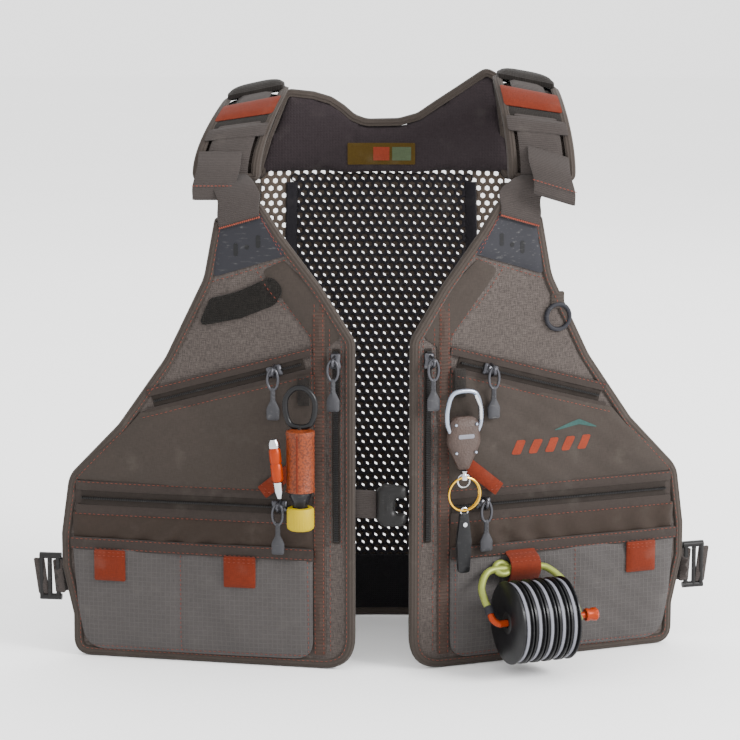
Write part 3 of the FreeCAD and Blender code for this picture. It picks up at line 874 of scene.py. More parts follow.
class Trees:
    """Node trees for what repeats, each built once."""

    made: dict[str, bpy.types.NodeTree] = {}
    kinds = {"Geometry": "NodeSocketGeometry", "Spacing": "NodeSocketFloat", "Size": "NodeSocketVector",
             "Open Share": "NodeSocketFloat", "Finish": "NodeSocketMaterial"}
    closing = {"real": ("RealizeInstances", {}, {}), "dye": ("SetMaterial", {}, {})}
    last = [("real", 0, "dye", "Geometry"), ("in", "Finish", "dye", "Material"), ("dye", 0, "out", 0)]

    @classmethod
    def grown(cls, name: str, inputs: Sequence[str], nodes: dict[str, tuple],
              links: list) -> bpy.types.NodeTree:
        """Build a tree once; its last nodes make the copies real and give them the finish.

        Args:
            name: The tree's name.
            inputs: Names of its inputs.
            nodes: Kind, settings and input values of each labelled node.
            links: Node, output, node and input of each link.

        Returns:
            The tree.
        """
        if name in cls.made:
            return cls.made[name]
        tree = cls.made[name] = bpy.data.node_groups.new(name, "GeometryNodeTree")
        for label in inputs:
            tree.interface.new_socket(name=label, in_out="INPUT", socket_type=cls.kinds[label])
        tree.interface.new_socket(name="Geometry", in_out="OUTPUT", socket_type=cls.kinds["Geometry"])
        made = {"in": tree.nodes.new("NodeGroupInput"), "out": tree.nodes.new("NodeGroupOutput")}
        for label, (kind, settings, values) in {**nodes, **cls.closing}.items():
            node = made[label] = tree.nodes.new("GeometryNode" + kind)
            for key, value in settings.items():
                setattr(node, key, value)
            for key, value in values.items():
                node.inputs[key].default_value = value
        for start, output, end, socket in links + cls.last:
            tree.links.new(made[start].outputs[output], made[end].inputs[socket])
        return tree

    @classmethod
    def along(cls, bead: Bead) -> bpy.types.NodeTree:
        """Tree that sets beads along a curve at a spacing, with a size and a finish."""
        shape = {"Subdivisions": 1, "Radius": 0.5} if bead is Bead.THREAD else {}
        nodes = {"points": ("CurveToPoints", {"mode": "LENGTH"}, {}), "bead": (bead.value, {}, shape),
                 "copies": ("InstanceOnPoints", {}, {})}
        links = [("in", "Geometry", "points", "Curve"), ("in", "Spacing", "points", "Length"),
                 ("points", "Points", "copies", "Points"), ("points", "Rotation", "copies", "Rotation"),
                 ("bead", "Mesh", "copies", "Instance"), ("in", "Size", "copies", "Scale"),
                 ("copies", 0, "real", 0)]
        return cls.grown("Along" + bead.name, ("Geometry", "Spacing", "Size", "Finish"), nodes, links)

    @classmethod
    def perforate(cls) -> bpy.types.NodeTree:
        """Tree that opens a hole in each face of a sheet."""
        nodes = {"cut": ("ExtrudeMesh", {"mode": "FACES"}, {"Offset Scale": 0.0, "Individual": True}),
                 "shrink": ("ScaleElements", {}, {}), "drop": ("DeleteGeometry", {"domain": "FACE"}, {}),
                 "weld": ("MergeByDistance", {}, {"Distance": 0.00002})}
        links = [("in", "Geometry", "cut", "Mesh"), ("cut", "Mesh", "shrink", "Geometry"),
                 ("cut", "Top", "shrink", "Selection"), ("in", "Open Share", "shrink", "Scale"),
                 ("shrink", 0, "drop", "Geometry"), ("cut", "Top", "drop", "Selection"),
                 ("drop", 0, "weld", "Geometry"), ("weld", 0, "real", 0)]
        return cls.grown("Perforate", ("Geometry", "Open Share", "Finish"), nodes, links)

    @staticmethod
    def apply(obj: Piece, tree: bpy.types.NodeTree, name: str, values: dict) -> Piece:
        """Run a tree on an object and keep its result as a plain mesh.

        Args:
            obj: The curve or mesh that feeds the tree.
            tree: The tree.
            name: The new piece's name.
            values: Values of the tree's named inputs.

        Returns:
            The new piece; the old object is removed.
        """
        modifier = obj.modifiers.new("Detail", "NODES")
        modifier.node_group = tree
        for item in tree.interface.items_tree:
            if item.in_out == "INPUT" and item.name in values:
                modifier[item.identifier] = values[item.name]
        mesh = evaluated(obj)
        mesh.name = name
        bpy.data.objects.remove(obj)
        return placed(name, mesh)


def cloth_map(obj: Piece) -> Piece:
    """Give a piece a cloth map from its X and Z places.

    Args:
        obj: The piece.

    Returns:
        The same piece.
    """
    mesh = obj.data
    layer = mesh.uv_layers.get("Cloth") or mesh.uv_layers.new(name="Cloth")
    places = np.zeros(len(mesh.vertices) * 3)
    mesh.vertices.foreach_get("co", places)
    corner = np.zeros(len(mesh.loops), int)
    mesh.loops.foreach_get("vertex_index", corner)
    layer.data.foreach_set("uv", places.reshape(-1, 3)[corner][:, [0, 2]].ravel())
    return obj


def beads(name: str, paths: Iterable[Sequence[Vector]], bead: Bead, spacing: float, size: tuple,
          finish: str) -> Piece:
    """Set threads or teeth along paths, in metres.

    Args:
        name: The piece's name.
        paths: Point lists in the vest's frame.
        bead: What is set.
        spacing: Distance between beads.
        size: Their size across, up and along the path.
        finish: Name of their finish.

    Returns:
        The piece.
    """
    curve = bpy.data.curves.new(name + "_line", "CURVE")
    curve.dimensions = "3D"
    for path in paths:
        spline = curve.splines.new("POLY")
        spline.points.add(len(path) - 1)
        for point, at in zip(spline.points, path):
            point.co = (*at, 1)
    values = {"Spacing": spacing, "Size": size, "Finish": DYES.get(finish)}
    piece = Trees.apply(placed(name + "_line", curve), Trees.along(bead), name, values)
    if bead is Bead.THREAD:
        piece.data.shade_smooth()
    return cloth_map(piece)


def honeycomb(name: str, inside: Callable[[float, float], bool], box: tuple, pitch: float, share: float,
              place: Mapping, depth: float, thick: float, finish: str) -> Piece:
    """A perforated sheet of hexagon cells.

    Args:
        name: The piece's name.
        inside: Says whether a cell's middle is in the sheet.
        box: Lowest and highest x and z of the sheet, in millimetres.
        pitch: Distance between holes.
        share: Share of each cell that is open, across.
        place: Maps (x, z, depth) to the vest's frame.
        depth: Depth at which the sheet lies.
        thick: Its thickness.
        finish: Name of its finish.

    Returns:
        The piece.
    """
    x0, z0, x1, z1 = box
    radius = pitch / math.sqrt(3)
    ids: dict[tuple[int, int], int] = {}
    verts, faces = [], []
    row, z = 0, z0
    while z <= z1:
        x = x0 + (pitch / 2 if row % 2 else 0)
        while x <= x1:
            if inside(x, z):
                cell = []
                for k in range(6):
                    angle = math.radians(60 * k + 30)
                    u, v = x + radius * math.cos(angle), z + radius * math.sin(angle)
                    key = (round(u * 20), round(v * 20))
                    near = next((ids[(key[0] + a, key[1] + b)] for a in (0, 1, -1) for b in (0, 1, -1)
                                 if (key[0] + a, key[1] + b) in ids), None)
                    if near is None:
                        near = ids[key] = len(verts)
                        verts.append(place(u, v, depth))
                    cell.append(near)
                faces.append(cell)
            x += pitch
        z += radius * 1.5
        row += 1
    flat = piece_from(name + "_flat", verts, faces, finish, outward=False)
    piece = Trees.apply(flat, Trees.perforate(), name, {"Open Share": share, "Finish": DYES.get(finish)})
    thicken = piece.modifiers.new("Thread", "SOLIDIFY")
    thicken.thickness = thick * MM
    thicken.offset = 0
    return cloth_map(piece)


# ------------------------------------------------------------------ the vest's own frames
@dataclass
class FrontFrame:
    """One front's flat pattern and its place in the vest."""

    side: str
    loop_u: float = 35.0
    loop_w: float = 11.0
    sign: int = field(init=False)
    origin: Vector = field(init=False)
    out: Vector = field(init=False)
    face: Vector = field(init=False)

    def __post_init__(self) -> None:
        """Read the front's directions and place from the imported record."""
        self.sign = -1 if self.side == "left" else 1
        joints = {joint["name"]: joint for joint in frame["joints"]}
        mounts = {mount["name"]: mount for mount in frame["record"]["mounts"]}
        self.out = Vector(joints[self.side + "_band_zip"]["axis"]).normalized()
        self.face = Vector((self.out.y, -self.out.x, 0)) * self.sign
        loop_height = 201 if self.side == "left" else 206
        spot = Vector(mounts[self.side + "_tool_loop"]["pos_m"])
        self.origin = spot - (self.out * self.loop_u + UP * loop_height + self.face * self.loop_w) * MM

    def at(self, u: float, v: float, w: float) -> Vector:
        """A point of the flat pattern, exactly where the hard parts are."""
        return self.origin + (self.out * u + UP * v + self.face * w) * MM

    def cloth(self, u: float, v: float, w: float) -> Vector:
        """A point of the cloth, which bows a little between its stiff seams.

        Args:
            u: Place outwards.
            v: Height.
            w: Height above the lining.

        Returns:
            The point, in metres.
        """
        bow = 2.2 * math.sin(math.pi * min(max(u / 216, 0), 1)) * math.sin(math.pi * min(max(v / 332, 0), 1))
        wave = 0.9 * math.sin(u * 0.052 + v * 0.021) * math.sin(v * 0.043 + self.sign)
        return self.at(u, v, w + bow * 0.5 + wave * 0.6)

    @property
    def body(self) -> str:
        """The body that the front's cloth rides on."""
        return self.side + "_front"


@dataclass
class BackFrame:
    """The bent back: a point is given by its place across, its height and its depth out of the cloth."""

    bend: float = 321.0
    middle: Vector = field(init=False)

    def __post_init__(self) -> None:
        """Read where the back stands from the back panel."""
        low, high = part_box("back_mesh_panel")
        self.middle = Vector(((low.x + high.x) / 2, high.y - (self.bend + 3) * MM, 0))

    def at(self, x: float, z: float, depth: float) -> Vector:
        """A point of the back; depth is from its inner face outwards."""
        radius = self.bend + depth
        return self.middle + Vector((x, math.sqrt(max(radius ** 2 - x * x, 0)), z)) * MM


OUTLINE = rounded([(0, 0, 25), (208, 0, 22), (208, 30, 8), (216, 66, 10), (216, 90, 12), (210, 132, 22),
                   (172, 171, 30), (137, 220, 60), (108, 278, 40), (100, 320, 4), (67, 332, 4), (52, 310, 20),
                   (24, 274, 30), (0, 237, 14)], 9)
CHEST_ZIP = ((36, 220), (146, 189))
BAND_V = 118.0
POCKET_IN = 31.0


def chest_line(u: float, below: float = 0.0) -> float:
    """Height of the chest zipper's line at u, less a distance."""
    (u0, v0), (u1, v1) = CHEST_ZIP
    return v0 + (v1 - v0) * (u - u0) / (u1 - u0) - below


def ruffle(amount: float, pitch: float, lean: float, seed: float) -> Height:
    """Relief of gathered cloth: uneven folds that lean across it.

    Args:
        amount: Height of the folds.
        pitch: Distance between folds.
        lean: How far they lean.
        seed: Number that sets their pattern.

    Returns:
        The relief.
    """
    def height(flat: np.ndarray, far: np.ndarray) -> np.ndarray:
        u, v = flat[:, 0], flat[:, 1]
        phase = u * 2 * math.pi / pitch + np.sin(v * 0.19 + seed) * 1.4 + v * lean
        return amount * (0.5 + 0.5 * np.sin(phase)) * (0.6 + 0.4 * np.sin(u * 0.045 + seed * 2))
    return height


def creases(amount: float, seed: float) -> Height:
    """Relief of laid cloth: broad soft creases.

    Args:
        amount: Height of the creases.
        seed: Number that sets their pattern.

    Returns:
        The relief.
    """
    def height(flat: np.ndarray, far: np.ndarray) -> np.ndarray:
        u, v = flat[:, 0], flat[:, 1]
        broad = np.sin(u * 0.041 + v * 0.063 + seed) + np.sin(u * 0.087 - v * 0.034 + seed * 1.7)
        fine = np.sin(u * 0.19 + v * 0.11 + seed * 3) * np.sin(v * 0.23 + u * 0.05)
        return amount * (broad * 0.35 + fine * 0.3)
    return height


# ------------------------------------------------------------------ the fronts
@dataclass
class Front:
    """One front: its panel, pockets, zippers, trims and seams."""

    frame: FrontFrame
    binding: float = 7.0
    stitch_pitch: float = 3.4
    stitch_long: float = 2.3
    stitch_thick: float = 0.42
    layers: list[Piece] = field(default_factory=list)

    def layer(self, label: str, points: Sequence, low: float, high: float, finish: str, slot: str,
              *nodes: str, **shape: object) -> Piece:
        """Sew one layer on the front.

        Args:
            label: Its name without the side.
            points: Its outline.
            low: Height of its back.
            high: Height of its face.
            finish: Name of its finish.
            slot: Its material slot.
            nodes: CAD nodes that it stands for, without the side.
            shape: Further settings of the slab.

        Returns:
            The piece.
        """
        loop = rounded(points) if len(points[0]) == 3 else list(points)
        piece = slab(f"{self.frame.side}_{label}", loop, low, high, self.frame.cloth, finish, **shape)
        self.layers.append(piece)
        return settle(piece, self.frame.body, slot, *(f"{self.frame.side}_{node}" for node in nodes))

    def build(self) -> None:
        """Make every soft piece of the front, then sew its seams."""
        seed = 1.0 if self.frame.side == "left" else 2.3
        self.panel(seed)
        self.pockets(seed)
        self.zippers()
        self.trims()
        self.seams()

    def panel(self, seed: float) -> None:
        """The panel and its folded binding."""
        inner = inset(OUTLINE, 2.0)
        self.layer("panel_cloth", inner, 0, 3, "upper_melange", "front_fabric", "front_panel",
                   cell=5.0, edge=0.0, relief=creases(0.5, seed))
        section = [(-0.2, 1.6), (0.4, 3.6), (1.6, 4.6), (self.binding - 1, 4.6), (self.binding, 3.9),
                   (self.binding, 2.4), (self.binding, -0.4), (self.binding - 1, -1.1), (1.6, -1.1),
                   (0.3, -0.2)]
        border = swept(f"{self.frame.side}_binding_tape", OUTLINE, section, self.frame.cloth, "binding_tape")
        self.layers.append(border)
        settle(border, self.frame.body, "binding", f"{self.frame.side}_edge_binding")

    def pockets(self, seed: float) -> None:
        """Chest pocket, gathered band, zipped cargo pocket and its hem."""
        inside = POCKET_IN - 2
        chest = [(inside, BAND_V + 7, 2), (205, BAND_V + 12, 4), (200, 140, 10), (167, 167, 10),
                 (155, chest_line(155, 6), 3), (inside, chest_line(inside, 7), 4)]
        self.layer("chest_pocket_cloth", chest, 3, 7, "chest_laminate", "pocket_fabric", "chest_pocket",
                   edge=3.5, domed=2.6, cell=3.2, relief=creases(2.1, seed))
        band = [(inside, 104, 2), (204, 104, 3), (206, BAND_V + 12, 3), (inside, BAND_V + 10, 3)]
        self.layer("band_cloth", band, 3, 4.6, "band_laminate", "pocket_fabric", edge=1.5,
                   relief=creases(0.4, seed + 1))
        gather = [(inside + 1, 84, 2), (206, 85, 3), (207, 107, 3), (inside + 1, 107, 3)]
        self.layer("gathered_cloth", gather, 3, 6.4, "gather_cloth", "ripstop", edge=3.0, cell=2.5,
                   relief=ruffle(2.4, 24, 0.11, seed))
        lower = [(inside + 1, 7, 14), (198, 6, 20), (204, 40, 10), (207, 84, 3), (inside + 1, 84, 3)]
        self.layer("lower_pocket_cloth", lower, 3, 8.2, "pocket_ripstop", "ripstop", "lower_pocket",
                   edge=4.0, domed=1.2, cell=3.0, relief=self.pocket_relief(seed))
        hem = [(inside, 79, 1), (207.5, 80, 1), (208, 88.5, 2), (inside, 88, 2)]
        self.layer("pocket_hem", hem, 7.0, 9.6, "band_laminate", "pocket_fabric", edge=1.2, cell=5.0,
                   relief=creases(0.3, seed))

    @staticmethod
    def pocket_relief(seed: float) -> Height:
        """Relief of the cargo pocket: creases, and a seam that parts it in two."""
        soft = creases(1.8, seed + 0.6)

        def height(flat: np.ndarray, far: np.ndarray) -> np.ndarray:
            seam = np.exp(-np.abs(flat[:, 0] - 126) / 3.0) * np.clip((80 - flat[:, 1]) / 30, 0, 1)
            fold = np.exp(-((flat[:, 0] - 95) - (flat[:, 1] - 40) * 0.5) ** 2 / 90) * 0.8
            return soft(flat, far) - 1.6 * seam + fold
        return height

    def zippers(self) -> None:
        """Zipper tapes with their coils, and the flap over each."""
        side = self.frame.side
        chest = strip(CHEST_ZIP[0], CHEST_ZIP[1], 15, 2)
        front = square(10.4, 92, 15.8, 231, 1)
        self.layer("chest_zip_tape", chest, 3, 4.8, "zipper_tape", "zipper", "zipper_tapes", edge=0.8,
                   cell=6.0)
        self.layer("band_zip_tape", square(POCKET_IN, 109, 200, 126, 1), 4.2, 5.4, "zipper_tape", "zipper",
                   edge=0.8, cell=6.0)
        self.layer("front_zip_tape", front, 3, 4.6, "zipper_tape", "zipper", edge=0.8, cell=6.0)
        lips = [(strip((30, chest_line(30, -7.2)), (150, chest_line(150, -7.2)), 6, 1), 4.2, 6.2),
                (strip((30, chest_line(30, 7.0)), (150, chest_line(150, 7.0)), 5, 1), 4.2, 6.6),
                (square(POCKET_IN - 1, 122.5, 204, 129.5, 1), 4.6, 6.8),
                (square(POCKET_IN - 1, 104.5, 204, 112, 1), 4.6, 6.6)]
        for number, (points, low, high) in enumerate(lips, start=1):
            self.layer(f"zip_lip_{number}", points, low, high, "band_laminate", "pocket_fabric", edge=1.2,
                       cell=6.0, relief=creases(0.25, number))
        lines = [((38, chest_line(38)), (144, chest_line(144))), ((POCKET_IN + 2, 117.2), (199, 117.2)),
                 ((13, 94), (13, 229))]
        heights = (5.0, 5.6, 4.9)
        paths = [[self.frame.cloth(u, v, w) for u, v in resampled(line, 4)]
                 for line, w in zip(lines, heights)]
        coil = beads(f"{side}_zip_coils", paths, Bead.TOOTH, 0.0013, (0.0034, 0.0013, 0.0008), "black_acetal")
        settle(coil, self.frame.body, "zipper")

    def trims(self) -> None:
        """Front tape, pocket tabs, shoulder patch, gear strap and tool loop."""
        side = self.frame.side
        self.layer("front_tape", square(21, 10, 29.5, 262, 1), 3, 5.6, "rosy_tape", "binding", edge=1.0,
                   cell=5.0, relief=creases(0.3, 4))
        facing = [(20, 180, 2), (30, 180, 2), (30, 238, 20), (52, 266, 30), (66, 284, 4), (50, 292, 4),
                  (29, 272, 30), (8, 240, 14), (20, 232, 4)]
        self.layer("neck_facing", facing, 3, 4.4, "chest_laminate", "front_fabric", edge=1.0, cell=4.0,
                   relief=creases(0.6, 7))
        for number, u in enumerate((82, 178), start=1):
            if number == 1 and side == "right":
                self.hanging_loop(u)
                continue
            tab = square(u - 11.5, 58, u + 11.5, 80.5, 1.2)
            self.layer(f"pocket_tab_{number}", tab, 9.2, 11.8, "orange_cloth", "orange_fabric",
                       *(("pocket_tabs",) if number == 1 else ()), edge=1.0, cell=3.0, relief=creases(0.5, u))
        patch = [(66, 328, 2), (47, 296, 3), (101, 279, 3), (97, 319, 2)]
        self.layer("shoulder_patch_rubber", patch, 3, 5.2, "slate_rubber", "patch", "shoulder_patch",
                   edge=1.0, cell=4.0)
        for number, (u, v, tall) in enumerate(((68, 305, 9), (76, 301, 3.2), (84, 299, 9)), start=1):
            mark = square(u - 1.6, v - tall / 2, u + 1.6, v + tall / 2, 1.6)
            self.layer(f"patch_mark_{number}", mark, 4.8, 6.0, "spool_black", "patch", edge=0.5, cell=3.0)
        strap = strip((34, 153), (65, 128), 10, 1)
        self.layer("gear_strap_cloth", strap, 9.6, 11.6, "orange_cloth", "orange_fabric", "gear_straps",
                   edge=1.0, cell=3.0, relief=creases(0.5, 9))
        low = 191 if side == "left" else 196
        self.layer("tool_loop_webbing", square(30.8, low, 39.2, low + 20, 1), 8.6, 11, "dark_loop", "webbing",
                   edge=1.2, cell=3.0)
        if side == "left":
            self.fly_patch()
        else:
            self.mark()
            self.d_ring_tab()

    def hanging_loop(self, u: float) -> None:
        """The pocket tab that stands out round the tippet holder's bar."""
        bow = [(82, 9.4), (80.5, 12), (78, 18), (73, 21.2), (67, 19.6), (61, 15), (57.5, 10.6), (57, 9.0)]
        path = smooth_path([self.frame.at(u, v, w) for v, w in bow], 4)
        loop = ribbon("right_hanging_loop", path, [self.frame.out] * len(path), 23, 1.5, "orange_cloth")
        self.layers.append(loop)
        settle(loop, self.frame.body, "orange_fabric", "right_pocket_tabs")

    def fly_patch(self) -> None:
        """Dark hook-pile patch."""
        patch = [(103, 264, 4), (84, 269, 10), (58, 281, 7), (50, 272, 8), (56, 261, 8), (80, 251, 10),
                 (112, 244, 4)]
        self.layer("fly_patch_pile", patch, 3, 7.6, "hook_pile", "fly_patch", "fly_patch", edge=2.5, cell=2.5,
                   relief=creases(0.7, 5))

    def mark(self) -> None:
        """A plain printed mark of slanted bars, which stands for nobody's sign."""
        for number in range(5):
            u = 74 + number * 13
            bar = [(u, 152, 1.5), (u + 7, 152, 1.5), (u + 12, 162, 1.5), (u + 5, 162, 1.5)]
            self.print_on(f"mark_bar_{number + 1}", bar, "rust_print")
        self.print_on("mark_wave", [(102, 166, 1), (128, 170, 3), (146, 166, 1), (128, 174, 3)], "teal_print")

    def print_on(self, label: str, points: Sequence, finish: str) -> None:
        """Lay a thin print on the cloth below it.

        Args:
            label: The print's name.
            points: Its outline.
            finish: Name of its finish.
        """
        tree = self.surface()
        loop = rounded(points, 3)

        def place(u: float, v: float, w: float) -> Vector:
            return self.on_surface(tree, u, v, w)
        piece = slab(f"{self.frame.side}_{label}", loop, -0.1, 0.25, place, finish, cell=2.5, edge=0.0)
        settle(piece, self.frame.body, "pocket_fabric")

    def d_ring_tab(self) -> None:
        """The webbing tab that holds the D-ring."""
        self.layer("d_ring_tab", square(107, 254, 117, 266, 1.5), 3, 5.2, "binding_tape", "binding", edge=1.0,
                   cell=3.0)

    def surface(self) -> BVHTree:
        """Search tree of every layer sewn so far."""
        verts, faces = [], []
        for piece in self.layers:
            base = len(verts)
            verts += [v.co.copy() for v in piece.data.vertices]
            faces += [[base + i for i in p.vertices] for p in piece.data.polygons]
        return BVHTree.FromPolygons(verts, faces)

    def on_surface(self, tree: BVHTree, u: float, v: float, above: float) -> Vector:
        """The point above the outermost cloth at (u, v).

        Args:
            tree: Search tree of the cloth.
            u: Place outwards.
            v: Height.
            above: Distance above the cloth.

        Returns:
            The point, in metres.
        """
        far = self.frame.at(u, v, 60)
        hit = tree.ray_cast(far, -self.frame.face, 0.2)[0]
        ground = hit if hit is not None else self.frame.cloth(u, v, 4.6)
        return ground + self.frame.face * above * MM

    def seams(self) -> None:
        """Rust-coloured stitches along every seam."""
        tree = self.surface()
        edge = inset(OUTLINE, self.binding - 1.4)
        lines = [edge + edge[:1],
                 [(22.2, 12), (22.2, 261)], [(28.4, 12), (28.4, 261)],
                 [(9.4, 90), (9.4, 236)], [(17.6, 14), (17.6, 244)],
                 [(30, chest_line(30, -9)), (149, chest_line(149, -9))],
                 [(30, chest_line(30, 9.8)), (152, chest_line(152, 9.8))],
                 [(31, 128.6), (204, 128.6)], [(31, 105.4), (204, 105.4)],
                 [(31, 87.2), (206, 87.6)], [(31, 80.6), (206, 81)],
                 [(126, 9), (126, 78)], [(33, 10), (33, 78)], [(36, 9.5), (194, 8.5)],
                 [(50, 292), (101, 276)], [(52, 297), (67, 324)],
                 [(59, 128.5), (65, 133.5)], [(50, 258), (69, 283)], [(30, 196), (31, 240)],
                 [(32, 240), (50, 262)]]
        for u in (82, 178):
            lines.append([(u - 10.4, 79), (u + 10.4, 79)])
            lines.append([(u - 10.4, 76.6), (u + 10.4, 76.6)])
        paths = [[self.on_surface(tree, u, v, 0.18) for u, v in resampled(line, 2.5)] for line in lines]
        thread = beads(self.frame.side + "_stitches", paths, Bead.THREAD, self.stitch_pitch * MM,
                       (self.stitch_thick * MM, self.stitch_thick * MM, self.stitch_long * MM), "rust_thread")
        settle(thread, self.frame.body, "binding")


# ------------------------------------------------------------------ back, collar and shoulders
@dataclass
class Back:
    """The open mesh back with its hem, seams, collar and label."""

    frame: BackFrame
    half: float = 168.0
    hem: float = 44.0
    yoke: float = 332.0
    pitch: float = 6.4

    def edge_at(self, z: float) -> float:
        """Half the back's width at a height."""
        heights = [0, 160, 190, 245, 290, 332]
        return float(np.interp(z, heights, [self.half, self.half, 150, 116, 98, 94]))

    def build(self) -> None:
        """Make the back's pieces."""
        self.mesh_sheets()
        self.bands()
        self.collar()

    def mesh_sheets(self) -> None:
        """Single mesh all over, and a second layer between the two seams."""
        def inside(x: float, z: float) -> bool:
            return abs(x) < self.edge_at(z) - 2.5

        def between(x: float, z: float) -> bool:
            return abs(x) < min(66 + (332 - z) * 0.02, self.edge_at(z) - 8)
        box = (-self.half, self.hem + 1, self.half, self.yoke + 8)
        outer = honeycomb("back_mesh_outer", inside, box, self.pitch, 0.54, self.frame.at, 1.9, 0.8,
                          "side_mesh")
        settle(outer, "root", "mesh", "back_mesh_panel")
        inner = honeycomb("back_mesh_inner", between, (-70, self.hem + 3, 70, self.yoke + 7), self.pitch,
                          0.66,
                          self.frame.at, 0.4, 0.7, "back_mesh")
        settle(inner, "root", "mesh")

    def band(self, name: str, path: Sequence[Point], wide: float, thick: float, finish: str, slot: str,
             *nodes: str, depth: float = 1.6) -> Piece:
        """A flat tape that follows a path on the back.

        Args:
            name: The tape's name.
            path: Its middle line.
            wide: Its width.
            thick: Its thickness.
            finish: Name of its finish.
            slot: Name of its slot.
            nodes: CAD nodes that it stands for.
            depth: Depth of its middle.

        Returns:
            The tape.
        """
        half = wide / 2
        section = [(-half, 0), (-half * 0.8, thick / 2), (half * 0.8, thick / 2), (half, 0),
                   (half * 0.8, -thick / 2), (-half * 0.8, -thick / 2)]
        piece = swept(name, resampled(path, 6), section, self.frame.at, finish, closed=False, base=depth)
        return settle(piece, "root", slot, *nodes)

    def bands(self) -> None:
        """Hem band, its binding, the seam tapes and the armhole bindings."""
        hem = slab("hem_band_cloth", rounded(square(-self.half, 5, self.half, self.hem + 1, 2)), -0.6, 3.4,
                   self.frame.at, "hem_cloth", cell=6, edge=1.5, relief=ruffle(0.8, 30, 0.0, 1.2))
        settle(hem, "root", "hem", "back_hem_band")
        self.band("hem_binding", [(-self.half, 3.2), (self.half, 3.2)], 6.2, 5.0, "binding_tape", "hem")
        self.band("hem_top_tape", [(-self.half, self.hem), (self.half, self.hem)], 7, 4.4, "hem_cloth", "hem")
        side = [(self.edge_at(z) - 2, z) for z in np.arange(4, self.yoke + 7, 8)]
        for sign, label in ((-1, "left"), (1, "right")):
            self.band(f"{label}_armhole_binding", [(sign * x, z) for x, z in side], 8, 5, "binding_tape",
                      "mesh")
            seam = [(sign * (66 + (332 - z) * 0.02), z) for z in np.arange(self.hem, self.yoke + 9, 12)]
            self.band(f"{label}_back_seam", seam, 9, 3.6, "back_mesh", "mesh")

    def collar(self) -> None:
        """Padded collar with a bound edge and a blank label."""
        rim = [(102, 4, 2), (95, 42, 14), (86, 79, 8), (77, 84, 8), (58, 71, 16), (40, 59, 16), (27, 50, 14),
               (13, 46, 20), (-11, 45.5, 20), (-20, 49, 14), (-28, 56, 14), (-37, 62, 14), (-50, 66, 16),
               (-71, 68.5, 8), (-85, 34, 16), (-94, 4, 2)]
        outline = rounded([(x, self.yoke + z, r) for x, z, r in rim])
        quilt = slab("collar_padding", inset(outline, 1.5), -2.6, 4.4, self.frame.at, "collar_mesh", cell=3.2,
                     edge=5.0, relief=creases(0.9, 2.0))
        quilt = Stuffing(3.2, 12, 2.2).fill(quilt)
        settle(quilt, "root", "collar", "collar_yoke")
        section = [(-1.0, 0), (-0.6, 4.4), (1.5, 5.4), (4.4, 4.6), (5, 0), (4.4, -5.0), (1.5, -5.8),
                   (-0.6, -4.8)]
        top = [point for point in outline if point[1] > self.yoke + 4.2]
        edge = swept("collar_binding", top, section, self.frame.at, "binding_tape", closed=False, base=1.4)
        settle(edge, "root", "collar")
        label = slab("label_patch", rounded(square(-25, self.yoke + 13, 25, self.yoke + 29, 1)), -5.2, -4.2,
                     self.frame.at, "blank_label", cell=5, edge=0.0)
        settle(label, "root", "label", "neck_label")
        blocks = (("label_rust", -6, 6, "rust_print"), ("label_sage", 8, 22, "label_sage"))
        for name, low, high, finish in blocks:
            block = slab(name, rounded(square(low, self.yoke + 16, high, self.yoke + 26, 0.5)), -5.5, -5.0,
                         self.frame.at, finish, cell=5, edge=0.0)
            settle(block, "root", "label")


@dataclass
class Stuffing:
    """Cloth simulation that fills a sewn shell."""

    voxel: float
    pressure: float
    cap: float
    frames: int = 14

    def fill(self, obj: Piece) -> Piece:
        """Swell a closed piece against its own cloth.

        Args:
            obj: The piece.

        Returns:
            The same piece with its filled shape.
        """
        remesh = obj.modifiers.new("Voxels", "REMESH")
        remesh.mode = "VOXEL"
        remesh.voxel_size = self.voxel * MM
        self.freeze(obj)
        start = np.zeros(len(obj.data.vertices) * 3)
        obj.data.vertices.foreach_get("co", start)
        cloth = obj.modifiers.new("Cloth", "CLOTH")
        cloth.settings.use_pressure = True
        cloth.settings.uniform_pressure_force = self.pressure
        cloth.settings.effector_weights.gravity = 0
        cloth.point_cache.frame_start, cloth.point_cache.frame_end = 1, self.frames
        for step in range(1, self.frames + 1):
            bpy.context.scene.frame_set(step)
        self.freeze(obj)
        bpy.context.scene.frame_set(1)
        swollen = np.zeros_like(start)
        obj.data.vertices.foreach_get("co", swollen)
        move = (swollen - start).reshape(-1, 3)
        long = np.linalg.norm(move, axis=1)
        share = np.minimum(1, self.cap * MM / np.maximum(long, 1e-9))
        obj.data.vertices.foreach_set("co", (start.reshape(-1, 3) + move * share[:, None]).ravel())
        obj.data.shade_smooth()
        return cloth_map(obj)

    @staticmethod
    def freeze(obj: Piece) -> None:
        """Turn the modifiers' result into the piece's own mesh."""
        mesh = evaluated(obj)
        obj.modifiers.clear()
        finish = obj.data.materials[0]
        obj.data = mesh
        if not mesh.materials:
            mesh.materials.append(finish)


